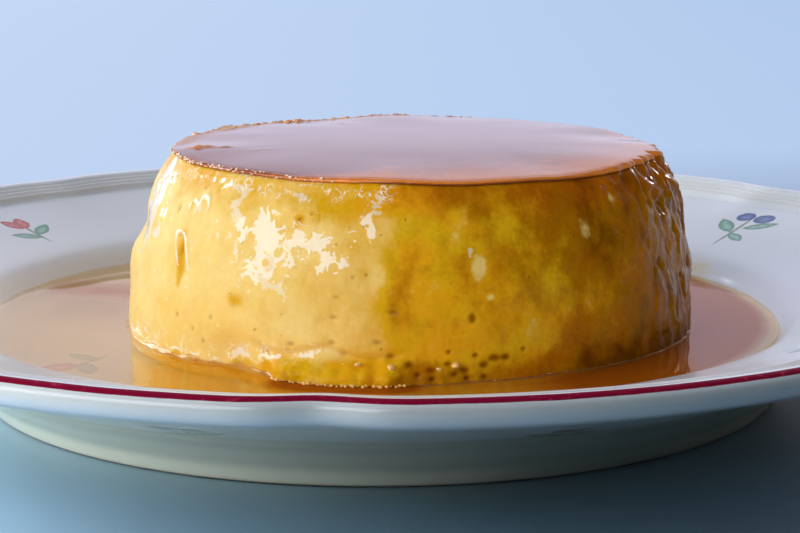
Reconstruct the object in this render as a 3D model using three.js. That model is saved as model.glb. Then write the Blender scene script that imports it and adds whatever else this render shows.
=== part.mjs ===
// A creme caramel turned out on to the middle of a scalloped dinner plate, with its caramel run out around it.
// Millimetres, +Z up. The origin is on the table, under the middle of the plate; -Y is the front.
// Every piece is a closed skin of rings: a row of its section, carried once round an axis, is one ring.

import * as THREE from 'three';

const GAP = 0.3;                 // between pieces that touch
const ROUND_STEPS = 64;          // steps round the flan and the syrup

// Plate: driving dimensions. Heights are above the table, directions are degrees from +X, seen from above.
const PLATE = {
  radius: 135,                   // outer edge of the lip, at the middle of a lobe
  height: 28.8,                  // top of the lip
  footRadius: 86,                // outside of the foot ring
  footLand: 5,                   // width of the flat that stands on the table
  footSlope: 5,                  // width of the foot ring's inner slope
  footHeight: 3.4,               // of the foot ring's nearly upright outside
  underside: 6.2,                // inside the foot ring
  ledgeRadius: 105,              // where the body meets the underside of the flange
  ledgeHeight: 14,
  lipThickness: 5.2,
  lipWidth: 5,
  wellFloor: 11.3,
  wellFloorRadius: 79,
  shoulderRadius: 91,            // top of the well's wall, where the flange starts
  shoulderHeight: 17.7,
};
const RIBS = { count: 3, pitch: 2.3, rise: 0.32, fall: 0.5 };    // fine raised lines inside the lip
const COVE = { drop: 1.5, width: 1.4 };                          // step from the ribs down to the flange
const SCALLOP = {
  lobes: 8,
  firstNotch: 41,                // direction of a notch between two lobes
  depth: 2,                      // how far a notch draws the edge in
  dip: 0.6,                      // and how far it lowers it
  spread: 3.4,                   // degrees from the middle of a notch to its flank
  fullFrom: 4,                   // this far in from the edge a notch is at its full depth
  reach: 32,                     // and this far in it has faded out
  steps: [0, 1.6, 3.2, 5.2, 8.5, 14],   // degrees from a notch at which the outline gets a point
};

// Creme caramel: driving dimensions
const FLAN = {
  centre: new THREE.Vector2(7.4, -3.1),
  baseRadius: 60.6,              // at the level of the syrup
  topRadius: 52.9,
  bulge: 2.1,                    // 1 for a straight cone; higher for a side that swells out under the top edge
  top: 51.6,                     // table to the flat top
  lean: 1.1,                     // the left side has settled further out than the right one
  footFrom: 0.72,                // the share of the way down at which the foot starts
  footInset: 0.985,              // the custard's underside, as a share of its foot
};
const CARAMEL_THICKNESS = 1.6;   // the dark cap that set against the bottom of the mould
const CARAMEL_ROUND = { inset: 1.6, half: 0.5 };                 // how its edge is rounded off
const RIPPLES = [                // unevenness of the side: rise, waves round the flan, phase in radians
  { rise: 0.28, waves: 3, phase: 0.6 },
  { rise: 0.2, waves: 5, phase: 2.1 },
  { rise: 0.12, waves: 9, phase: 0 },
];
const SWELLS = [                 // unevenness of the caramel's edge
  { rise: 0.2, waves: 2, phase: 2.2 },
  { rise: 0.16, waves: 7, phase: 1 },
  { rise: 0.12, waves: 11, phase: 0 },
];
const FOOT_FOLDS = [             // at the foot of the front: a tuck, and the custard that bulges out beside it
  { rise: -2.6, direction: -127, spread: 9 },
  { rise: 1.1, direction: -106, spread: 11 },
];

// Syrup
const SYRUP = {
  level: 14.3,
  radius: 86.3,                  // where the surface meets the well's wall
  edge: 2,                       // width of the thinning outer edge
  climb: 1.3,                    // how far it creeps up the custard
  climbWidth: 3.2,               // and how far out from the custard that starts
};
const FILLET_RISE = 0.9;         // the first part of the well's wall, a flat curve up from the floor
const FILLET_REACH = 3.2;        // from the syrup's edge in to the top of that curve

const radians = THREE.MathUtils.degToRad;
const { clamp, euclideanModulo, smoothstep } = THREE.MathUtils;

/** The smallest turn between two directions in degrees, signed. */
function turnBetween(angle, target) {
  return euclideanModulo(angle - target + 180, 360) - 180;
}

/** A smooth hump of height 1 in the middle that has died away by about twice its spread. */
function hump(distance, spread) {
  return Math.exp(-((distance / spread) ** 2));
}

/** The sum of some waves round an axis, in one direction. */
function waveSum(waveList, direction) {
  const turn = radians(direction);
  return waveList.reduce((sum, { rise, waves, phase }) => sum + rise * Math.cos(waves * turn + phase), 0);
}

function evenDirections(count) {
  return Array.from({ length: count }, (_, step) => (360 * step) / count);
}

/**
 * Closes a skin of rings. `rows` is the section, listed bottom, outside, top; `place` puts one row of it in one
 * direction. A section that starts and ends on the axis gets one point at each pole; a ring section closes on itself.
 */
function skinOfRings(rows, directions, place, isRing = false) {
  const positions = [];
  const triangles = [];
  const steps = directions.length;
  const firstOf = rows.map((row, index) => {
    const first = positions.length / 3;
    const isPole = !isRing && (index === 0 || index === rows.length - 1);
    const around = isPole ? directions.slice(0, 1) : directions;
    around.forEach((direction) => positions.push(...place(row, direction)));
    return first;
  });
  const bands = isRing ? rows.length : rows.length - 1;
  for (let band = 0; band < bands; band += 1) {
    const low = firstOf[band];
    const high = firstOf[(band + 1) % rows.length];
    for (let step = 0; step < steps; step += 1) {
      const after = (step + 1) % steps;
      if (!isRing && band === 0) {
        triangles.push(low, high + after, high + step);
      } else if (!isRing && band === bands - 1) {
        triangles.push(low + step, low + after, high);
      } else {
        triangles.push(low + step, low + after, high + after);
        triangles.push(low + step, high + after, high + step);
      }
    }
  }
  const geometry = new THREE.BufferGeometry();
  geometry.setAttribute('position', new THREE.Float32BufferAttribute(positions, 3));
  geometry.setIndex(triangles);
  geometry.computeVertexNormals();
  return geometry;
}

// ---------------------------------------------------------------- plate

/** Directions round the plate, closest together at each notch. */
function plateDirections() {
  const lobe = 360 / SCALLOP.lobes;
  const leaving = SCALLOP.steps;
  const coming = leaving.slice(1).reverse().map((angle) => lobe - angle);
  const acrossLobe = [...leaving, lobe / 2, ...coming];
  const directions = [];
  for (let index = 0; index < SCALLOP.lobes; index += 1) {
    acrossLobe.forEach((angle) => directions.push(SCALLOP.firstNotch + index * lobe + angle));
  }
  return directions;
}

/** From the middle of the underside, over the foot ring and up the outside to the lip: [radius, height]. */
function undersideSection() {
  const footInner = PLATE.footRadius - PLATE.footLand;
  const bodyWidth = PLATE.ledgeRadius - PLATE.footRadius;
  const bodyHeight = PLATE.ledgeHeight - PLATE.footHeight;
  return [
    [0, PLATE.underside],
    [footInner - PLATE.footSlope, PLATE.underside],
    [footInner, 0],
    [PLATE.footRadius, 0],
    [PLATE.footRadius + 0.08 * bodyWidth, PLATE.footHeight],
    [PLATE.footRadius + 0.4 * bodyWidth, PLATE.footHeight + 0.5 * bodyHeight],
    [PLATE.ledgeRadius, PLATE.ledgeHeight],
  ];
}

/** The rounded lip, from its foot on the underside round the edge and over the top. */
function lipSection() {
  const { radius, height, lipThickness, lipWidth } = PLATE;
  const outline = [                // shares of the lip's width in from the edge, and of its thickness down
    [1.2, 1.27],
    [0.48, 1],
    [0.08, 0.66],
    [0, 0.4],
    [0.22, 0.1],
    [0.52, 0],
    [1, 0.08],
  ];
  return outline.map(([inward, down]) => [radius - inward * lipWidth, height - down * lipThickness]);
}

/** The fine ribs inside the lip, a valley and a crest for each, stepping down towards the flange. */
function ribSection([startRadius, startHeight]) {
  const section = [];
  for (let rib = 0; rib < RIBS.count; rib += 1) {
    const outer = startRadius - rib * RIBS.pitch;
    const level = startHeight - (rib + 1) * RIBS.fall;
    section.push([outer - 0.35 * RIBS.pitch, level - RIBS.rise / 2]);
    section.push([outer - 0.8 * RIBS.pitch, level + RIBS.rise / 2]);
  }
  return section;
}

/** The cove, the sloping flange, its soft shoulder, the well's wall and the well's floor. */
function wellSection([startRadius, startHeight]) {
  const { shoulderRadius, shoulderHeight, wellFloor, wellFloorRadius } = PLATE;
  return [
    [startRadius - COVE.width, startHeight - COVE.drop],
    [shoulderRadius + 2.5, shoulderHeight + 0.9],
    [shoulderRadius, shoulderHeight],
    [shoulderRadius - 2.4, shoulderHeight - 1.7],
    [SYRUP.radius + 2 * GAP, SYRUP.level],
    [SYRUP.radius - FILLET_REACH + 2 * GAP, wellFloor + FILLET_RISE],
    [wellFloorRadius, wellFloor],
    [0, wellFloor],
  ];
}

function plateSection() {
  const lip = lipSection();
  const ribs = ribSection(lip.at(-1));
  return [...undersideSection(), ...lip, ...ribs, ...wellSection(ribs.at(-1))];
}

function placeOnPlate([radius, height], direction) {
  const { lobes, firstNotch, depth, dip, spread, fullFrom, reach } = SCALLOP;
  const fromNotch = turnBetween((direction - firstNotch) * lobes, 0) / lobes;
  const share = smoothstep(radius, PLATE.radius - reach, PLATE.radius - fullFrom);
  const notch = hump(fromNotch, spread) * share;
  const distance = radius - depth * notch;
  const turn = radians(direction);
  return [distance * Math.cos(turn), distance * Math.sin(turn), height - dip * notch];
}

// ---------------------------------------------------------------- creme caramel

/** How far the custard's side stands from the flan's axis, at a height above the table. */
function custardRadius(height, direction) {
  const down = clamp((FLAN.top - height) / (FLAN.top - SYRUP.level), 0, 1);
  const side = FLAN.baseRadius - (FLAN.baseRadius - FLAN.topRadius) * (1 - down) ** FLAN.bulge;
  const settled = -FLAN.lean * Math.cos(radians(direction)) * down;
  const foot = smoothstep(down, FLAN.footFrom, 1);
  const folds = FOOT_FOLDS.reduce((sum, fold) => (
    sum + fold.rise * hump(turnBetween(direction, fold.direction), fold.spread)
  ), 0);
  return side + settled + waveSum(RIPPLES, direction) + foot * folds;
}

function placeOnFlan(radius, height, direction) {
  const turn = radians(direction);
  return [FLAN.centre.x + radius * Math.cos(turn), FLAN.centre.y + radius * Math.sin(turn), height];
}

/** The custard, from just above the well's floor to just under its caramel cap. */
function custardGeometry() {
  const bottom = PLATE.wellFloor + GAP;
  const top = FLAN.top - CARAMEL_THICKNESS - GAP;
  const sideFoot = SYRUP.level + SYRUP.climb;
  const sideSteps = 9;
  const rows = [
    { share: 0, height: bottom },
    { share: FLAN.footInset, height: bottom },
    { share: 1, height: SYRUP.level },
    { share: 1, height: sideFoot },
  ];
  for (let step = 1; step <= sideSteps; step += 1) {
    rows.push({ share: 1, height: sideFoot + ((top - sideFoot) * step) / sideSteps });
  }
  rows.push({ share: 0, height: top });
  const place = ({ share, height }, direction) => (
    placeOnFlan(share * custardRadius(height, direction), height, direction)
  );
  return skinOfRings(rows, evenDirections(ROUND_STEPS), place);
}

/** The caramel cap: a thin disc with a rounded, slightly uneven edge that eases into a flat middle. */
function caramelLayerGeometry() {
  const bottom = FLAN.top - CARAMEL_THICKNESS;
  const rows = [
    { share: 0, inset: 0, height: bottom, swell: 0 },
    { share: 1, inset: 0, height: bottom, swell: 0 },
    { share: 1, inset: CARAMEL_ROUND.half, height: FLAN.top - CARAMEL_ROUND.half, swell: 0.5 },
    { share: 1, inset: CARAMEL_ROUND.inset, height: FLAN.top, swell: 1 },
    { share: 0.82, inset: 0, height: FLAN.top, swell: 0.6 },
    { share: 0.45, inset: 0, height: FLAN.top, swell: 0.3 },
    { share: 0, inset: 0, height: FLAN.top, swell: 0 },
  ];
  const place = ({ share, inset, height, swell }, direction) => {
    const radius = share * (custardRadius(bottom, direction) - inset);
    return placeOnFlan(radius, height + swell * waveSum(SWELLS, direction), direction);
  };
  return skinOfRings(rows, evenDirections(ROUND_STEPS), place);
}

// ---------------------------------------------------------------- syrup

/** Distance from the flan's axis, in one direction, to a circle about the plate's middle. */
function reachToCircle(circleRadius, direction) {
  const turn = radians(direction);
  const along = FLAN.centre.x * Math.cos(turn) + FLAN.centre.y * Math.sin(turn);
  return -along + Math.sqrt(along ** 2 + circleRadius ** 2 - FLAN.centre.lengthSq());
}

/** The caramel in the well: a shallow ring round the custard, up to its level, creeping up the custard's side. */
function caramelPoolGeometry() {
  const bottom = PLATE.wellFloor + GAP;
  const onCustard = (off, height) => (direction) => (
    placeOnFlan(custardRadius(Math.max(SYRUP.level, height), direction) + off, height, direction)
  );
  const onPlate = (circleRadius, height) => (direction) => (
    placeOnFlan(reachToCircle(circleRadius, direction), height, direction)
  );
  const rows = [
    onCustard(GAP, bottom),
    onPlate(PLATE.wellFloorRadius - GAP, bottom),
    onPlate(SYRUP.radius - FILLET_REACH, bottom + FILLET_RISE),
    onPlate(SYRUP.radius, SYRUP.level - 0.1),
    onPlate(SYRUP.radius - SYRUP.edge, SYRUP.level),
    onCustard(SYRUP.climbWidth, SYRUP.level),
    onCustard(0.37 * SYRUP.climbWidth, SYRUP.level + 0.35 * SYRUP.climb),
    onCustard(1.5 * GAP, SYRUP.level + SYRUP.climb),
    onCustard(GAP, SYRUP.level),
  ];
  return skinOfRings(rows, evenDirections(ROUND_STEPS), (row, direction) => row(direction), true);
}

// ---------------------------------------------------------------- the part

function piece(name, geometry, color, roughness) {
  const mesh = new THREE.Mesh(geometry, new THREE.MeshStandardMaterial({ color, roughness, metalness: 0 }));
  mesh.name = name;
  return mesh;
}

function plateGeometry() {
  return skinOfRings(plateSection(), plateDirections(), placeOnPlate);
}

const cremeCaramel = new THREE.Group();
cremeCaramel.add(piece('plate', plateGeometry(), '#e6e9ee', 0.12));
cremeCaramel.add(piece('custard', custardGeometry(), '#e9c05a', 0.28));
cremeCaramel.add(piece('caramel_layer', caramelLayerGeometry(), '#b5651f', 0.1));
cremeCaramel.add(piece('caramel_pool', caramelPoolGeometry(), '#a8641c', 0.06));

export default cremeCaramel;
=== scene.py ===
"""A creme caramel, turned out on to a scalloped dinner plate and standing in its own syrup.

Lengths are millimetres unless a name says otherwise, heights are above the table, and directions are
degrees from +X, counter-clockwise seen from above, so the front is at -90. Meshes are made in metres, in
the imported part's own frame.
"""

from __future__ import annotations

import itertools
import logging
import math
from collections.abc import Sequence
from dataclasses import dataclass, field
from enum import Enum
from functools import cached_property

import bpy
import numpy as np
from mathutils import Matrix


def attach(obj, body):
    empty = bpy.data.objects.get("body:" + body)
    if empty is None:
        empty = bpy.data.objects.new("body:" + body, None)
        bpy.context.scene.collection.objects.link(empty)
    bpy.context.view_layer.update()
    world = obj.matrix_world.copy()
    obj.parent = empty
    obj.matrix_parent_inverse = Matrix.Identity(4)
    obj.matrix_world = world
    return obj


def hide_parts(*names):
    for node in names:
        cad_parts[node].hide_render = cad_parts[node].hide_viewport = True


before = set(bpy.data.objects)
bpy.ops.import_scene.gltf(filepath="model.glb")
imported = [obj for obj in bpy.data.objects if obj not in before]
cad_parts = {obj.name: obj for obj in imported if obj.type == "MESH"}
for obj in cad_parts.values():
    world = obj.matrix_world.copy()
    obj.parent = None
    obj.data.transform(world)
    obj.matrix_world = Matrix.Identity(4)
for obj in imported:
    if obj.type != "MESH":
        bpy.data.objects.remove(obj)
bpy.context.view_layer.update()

Array = np.ndarray
Colour = tuple[float, float, float]
Sector = tuple[float, float, float]  # where it starts and ends and how wide its soft edge is, in degrees
Wires = dict[str | int, object]
Fields = dict[str, Array]
Socket = bpy.types.NodeSocket
Sockets = bpy.types.NodeOutputs
Tree = bpy.types.NodeTree
Mesh = bpy.types.Mesh
Material = bpy.types.Material
Piece = bpy.types.Object

MM = 0.001
SAME_PLACE = 0.00002  # metres within which points of the turned plate are joined
BODY = "root"
LOG = logging.getLogger("creme_caramel")


# ---- small sums


def eased(value: Array | float, low: float, high: float) -> Array | float:
    """A smooth step from 0 at low to 1 at high; low may be the larger one."""
    share = np.clip((value - low) / (high - low), 0.0, 1.0)
    return share * share * (3.0 - 2.0 * share)


def turn_between(direction: Array | float, target: float) -> Array | float:
    """The smallest turn from target to direction in degrees, signed."""
    return (direction - target + 180.0) % 360.0 - 180.0


def hump(distance: Array | float, spread: float) -> Array | float:
    """A smooth hump of height 1 in the middle that has died away by about twice its spread."""
    return np.exp(-((distance / spread) ** 2))


def oval_hump(across: Array, up: Array, half_width: float, half_height: float) -> Array:
    """A smooth hump of height 1 over an oval."""
    return np.exp(-((across / half_width) ** 2 + (up / half_height) ** 2))


def arc(direction: Array, target: float, radius: float = 58.0) -> Array:
    """How far directions are from a target, measured along a circle."""
    return np.radians(turn_between(direction, target)) * radius


def sector(direction: Array, start: float, end: float, soft: float) -> Array:
    """1 between two directions, easing to 0 outside them over a number of degrees.

    Args:
        direction: Directions in degrees.
        start: Where the sector starts, counter-clockwise.
        end: Where it ends.
        soft: The width of the soft edge, which lies outside the sector.

    Returns:
        A share from 0 to 1 for each direction.
    """
    half = (end - start) / 2.0
    off = np.abs(turn_between(direction, start + half))
    return eased(off, half + soft, half)


@dataclass(frozen=True)
class Lumps:
    """Smooth seeded unevenness in space, about -1 to 1, that every uneven surface draws on."""

    seed: int

    @cached_property
    def order(self) -> Array:
        """A shuffled ring of 256 places that hashes the lattice."""
        return np.random.default_rng(self.seed).permutation(256)

    @cached_property
    def slopes(self) -> Array:
        """One unit vector for each place in the ring."""
        made = np.random.default_rng(self.seed + 1).normal(size=(256, 3))
        return made / np.linalg.norm(made, axis=1)[:, None]

    def at(self, points: Array, size: float | Sequence[float]) -> Array:
        """One octave of lumps.

        Args:
            points: Places, n by 3.
            size: The distance between neighbouring lumps, one number or one for each axis.

        Returns:
            The unevenness at each place.
        """
        cells = points / np.asarray(size, float)
        low = np.floor(cells).astype(int)
        part = cells - low
        fade = part**3 * (part * (part * 6.0 - 15.0) + 10.0)
        total = np.zeros(len(points))
        for corner in itertools.product((0, 1), repeat=3):
            step = np.array(corner)
            x, y, z = ((low + step) & 255).T
            slope = self.slopes[self.order[(self.order[(self.order[x] + y) & 255] + z) & 255]]
            weight = np.prod(np.where(step == 1, fade, 1.0 - fade), axis=1)
            total += weight * np.einsum("ij,ij->i", slope, part - step)
        return 1.6 * total

    def layered(self, points: Array, size: float | Sequence[float], layers: int = 3,
                keep: float = 0.5) -> Array:
        """Several octaves, each half the size of the last and weaker by keep."""
        scale = np.asarray(size, float)
        return sum(self.at(points + 17.3 * n, scale / 2**n) * keep**n for n in range(layers))


# ---- meshes


class Skin(Enum):
    """How the rows of a lathed mesh close."""

    POLES = "the first and the last row are single points on the axis"
    RING = "the last row joins the first one"


def lathe_faces(rows: int, steps: int, skin: Skin) -> list[tuple[int, ...]]:
    """Faces over rows of points carried round an axis, listed bottom, outside, top, facing outwards.

    Args:
        rows: How many rows of points there are.
        steps: How many points are in a full row.
        skin: How the rows close. With poles, the first and the last point stand for whole rows.

    Returns:
        The corners of each face.
    """
    after = [(step + 1) % steps for step in range(steps)]
    faces: list[tuple[int, ...]] = []
    if skin is Skin.RING:
        for row in range(rows):
            low, high = row * steps, (row + 1) % rows * steps
            faces += [(low + s, low + after[s], high + after[s], high + s) for s in range(steps)]
        return faces
    last = 1 + (rows - 2) * steps
    faces += [(0, 1 + after[s], 1 + s) for s in range(steps)]
    for row in range(rows - 3):
        low = 1 + row * steps
        high = low + steps
        faces += [(low + s, low + after[s], high + after[s], high + s) for s in range(steps)]
    top = last - steps
    faces += [(top + s, top + after[s], last) for s in range(steps)]
    return faces


def new_mesh(name: str, points: Array, faces: Sequence[Sequence[int]] = (),
             edges: Sequence[Sequence[int]] = (), fields: Fields | None = None) -> Mesh:
    """A mesh from places in millimetres.

    Args:
        name: The mesh's name.
        points: Places, n by 3.
        faces: The corners of each face.
        edges: Edges, for a path without faces.
        fields: Numbers for each point, stored as attributes that materials and trees read by name.

    Returns:
        The mesh, smooth shaded, in metres.
    """
    mesh = bpy.data.meshes.new(name)
    mesh.from_pydata((points * MM).tolist(), [tuple(e) for e in edges], list(faces))
    if faces:
        mesh.polygons.foreach_set("use_smooth", [True] * len(mesh.polygons))
    for key, values in (fields or {}).items():
        stored = mesh.attributes.new(key, "FLOAT", "POINT")
        stored.data.foreach_set("value", np.asarray(values, np.float32))
    mesh.update()
    return mesh


def closed_mesh(name: str, rows: int, points: Array, fields: Fields) -> Mesh:
    """A lathed mesh whose first and last row are single points.

    Args:
        name: The mesh's name.
        rows: How many rows there are.
        points: All the rows, one after the other; the first and the last one hold one place many times.
        fields: Numbers for each point.

    Returns:
        The mesh.
    """
    steps = len(points) // rows
    keep = np.ones(len(points), bool)
    keep[1:steps] = False
    keep[1 - steps:] = False
    kept_fields = {key: values[keep] for key, values in fields.items()}
    return new_mesh(name, points[keep], lathe_faces(rows, steps, Skin.POLES), fields=kept_fields)


def show(item: Piece) -> None:
    """Puts an object into the scene."""
    bpy.context.scene.collection.objects.link(item)


def new_piece(name: str, mesh: Mesh, finishes: Sequence[Material], node: str,
              stands_for: bool = False) -> Piece:
    """Puts a mesh into the scene as one piece of the food or its plate.

    Args:
        name: The piece's name.
        mesh: Its mesh, already in place.
        finishes: Its materials.
        node: The CAD node that the piece is shown in place of, hidden when stands_for is set.
        stands_for: Whether it is shown in place of that node.

    Returns:
        The piece.
    """
    piece = bpy.data.objects.new(name, mesh)
    show(piece)
    mesh.materials.clear()
    for finish in finishes:
        mesh.materials.append(finish)
    mesh.polygons.foreach_set("material_index", [0] * len(mesh.polygons))
    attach(piece, BODY)
    if stands_for:
        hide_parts(node)
    LOG.info("%s: %d points, %d faces", name, len(mesh.vertices), len(mesh.polygons))
    return piece


# ---- node trees


FLOAT, VECTOR, COLOUR = "NodeSocketFloat", "NodeSocketVector", "NodeSocketColor"
INTEGER, GEOMETRY, FINISH = "NodeSocketInt", "NodeSocketGeometry", "NodeSocketMaterial"
SHADER_TREE, GEOMETRY_TREE = "ShaderNodeTree", "GeometryNodeTree"
SOCKET_TYPES = {float: FLOAT, int: INTEGER, tuple: VECTOR}


class Sheet:
    """Writes one node tree: a material, a shader group or a geometry tool."""

    def __init__(self, tree: Tree) -> None:
        """Starts on an empty tree."""
        self.tree = tree
        tree.nodes.clear()

    @staticmethod
    def pick(sockets: bpy.types.NodeInputs, key: str | int) -> Socket:
        """The socket in use that has this name, or this place in the list."""
        if isinstance(key, int):
            return sockets[key]
        for socket in sockets:
            if socket.name == key and socket.enabled:
                return socket
        raise KeyError(f"no socket {key!r} among {[s.name for s in sockets]}")

    def node(self, kind: str, wires: Wires | None = None, **settings: object) -> bpy.types.Node:
        """Adds a node.

        Args:
            kind: Blender's name for the type of node.
            wires: A value or another node's output for each named input.
            settings: The node's own properties.

        Returns:
            The node.
        """
        made = self.tree.nodes.new(kind)
        for name, value in settings.items():
            setattr(made, name, value)
        for key, value in (wires or {}).items():
            socket = self.pick(made.inputs, key)
            if isinstance(value, Socket):
                self.tree.links.new(value, socket)
            else:
                socket.default_value = value
        return made

    def out(self, kind: str, wires: Wires | None = None, name: str | int = 0, **settings: object) -> Socket:
        """Adds a node and gives one of its outputs."""
        return self.pick(self.node(kind, wires, **settings).outputs, name)

    def math(self, operation: str, *terms: object, clamp: bool = False) -> Socket:
        """A sum on numbers."""
        return self.out("ShaderNodeMath", dict(enumerate(terms)), operation=operation, use_clamp=clamp)

    def plus(self, first: object, second: object) -> Socket:
        """The sum of two numbers."""
        return self.math("ADD", first, second)

    def less(self, first: object, second: object) -> Socket:
        """The first number less the second."""
        return self.math("SUBTRACT", first, second)

    def times(self, first: object, second: object, clamp: bool = False) -> Socket:
        """The product of two numbers, kept from 0 to 1 if clamp is set."""
        return self.math("MULTIPLY", first, second, clamp=clamp)

    def over(self, first: object, second: object) -> Socket:
        """The first number divided by the second."""
        return self.math("DIVIDE", first, second)

    def larger(self, first: object, second: object, clamp: bool = False) -> Socket:
        """The larger of two numbers, kept from 0 to 1 if clamp is set."""
        return self.math("MAXIMUM", first, second, clamp=clamp)

    def vector(self, operation: str, *terms: object, name: str = "Vector", **wires: object) -> Socket:
        """A sum on vectors."""
        inputs: Wires = dict(enumerate(terms))
        inputs.update(wires)
        return self.out("ShaderNodeVectorMath", inputs, name, operation=operation)

    def split(self, place: object) -> Sockets:
        """The three coordinates of a place."""
        return self.node("ShaderNodeSeparateXYZ", {0: place}).outputs

    def polar(self, reach: object, turn: object) -> tuple[Socket, Socket]:
        """A distance times the cosine and times the sine of an angle."""
        return self.times(reach, self.math("COSINE", turn)), self.times(reach, self.math("SINE", turn))

    def random(self, kind: str, seed: object, **limits: object) -> Socket:
        """A random value for each point, drawn between limits or by a probability."""
        return self.out("FunctionNodeRandomValue", {**limits, "Seed": seed}, "Value", data_type=kind)

    def eased(self, value: object, low: object, high: object) -> Socket:
        """A smooth step from 0 at low to 1 at high."""
        wires = {"Value": value, "From Min": low, "From Max": high}
        return self.out("ShaderNodeMapRange", wires, interpolation_type="SMOOTHSTEP")

    def blend(self, share: object, first: object, second: object, how: str = "MIX") -> Socket:
        """A colour between two colours."""
        wires = {"Factor": share, "A": shade(first), "B": shade(second)}
        return self.out("ShaderNodeMix", wires, "Result", data_type="RGBA", blend_type=how)

    def noise(self, place: object, size: object, detail: float = 2.0, rough: float = 0.5,
              bend: float = 0.0) -> Socket:
        """Soft noise from 0 to 1 with lumps of a size in millimetres."""
        scale = self.over(1 / MM, size)
        wires = {"Vector": place, "Scale": scale, "Detail": detail, "Roughness": rough, "Distortion": bend}
        return self.out("ShaderNodeTexNoise", wires)

    def swing(self, place: object, size: object, detail: float = 2.0, rough: float = 0.5,
              bend: float = 0.0) -> Socket:
        """The same noise about 0, from -0.5 to 0.5."""
        return self.less(self.noise(place, size, detail, rough, bend), 0.5)

    def use(self, group: Tree, wires: Wires) -> bpy.types.Node:
        """Places a shader group."""
        return self.node("ShaderNodeGroup", wires, node_tree=group)


def shade(value: object) -> object:
    """A colour of three numbers gets its alpha; a socket stays as it is."""
    return (*value, 1.0) if isinstance(value, tuple) and len(value) == 3 else value


def scaled(colour: Colour, factor: float, lift: float = 0.0) -> Colour:
    """A colour made darker or lighter by a factor, and then lifted towards white."""
    return tuple(min(1.0, factor * part + lift) for part in colour)


class Group(Sheet):
    """A shader group or geometry tool with named inputs and outputs."""

    def __init__(self, name: str, kind: str, inputs: Wires, outputs: dict[str, str]) -> None:
        """Makes the tree and its sockets.

        Args:
            name: The group's name.
            kind: ShaderNodeTree or GeometryNodeTree.
            inputs: For each input its value, or its socket type where it has none.
            outputs: For each output its socket type.
        """
        super().__init__(bpy.data.node_groups.new(name, kind))
        for label, value in inputs.items():
            bare = isinstance(value, str)
            socket_type = value if bare else SOCKET_TYPES[type(value)]
            socket = self.tree.interface.new_socket(name=label, in_out="INPUT", socket_type=socket_type)
            if not bare:
                socket.default_value = value
        for label, socket_type in outputs.items():
            self.tree.interface.new_socket(name=label, in_out="OUTPUT", socket_type=socket_type)
        self.given = self.node("NodeGroupInput").outputs
        self.result = self.node("NodeGroupOutput")

    def give(self, name: str, value: Socket) -> None:
        """Wires one output."""
        self.tree.links.new(value, self.result.inputs[name])

    def close(self, solid: Socket) -> Tree:
        """Ends a geometry tool: smooth shaded, realized and in its material."""
        solid = self.out("GeometryNodeSetShadeSmooth", {"Geometry": solid, "Shade Smooth": True})
        solid = self.out("GeometryNodeRealizeInstances", {"Geometry": solid})
        wires = {"Geometry": solid, "Material": self.given["Material"]}
        self.give("Geometry", self.out("GeometryNodeSetMaterial", wires))
        return self.tree


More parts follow.
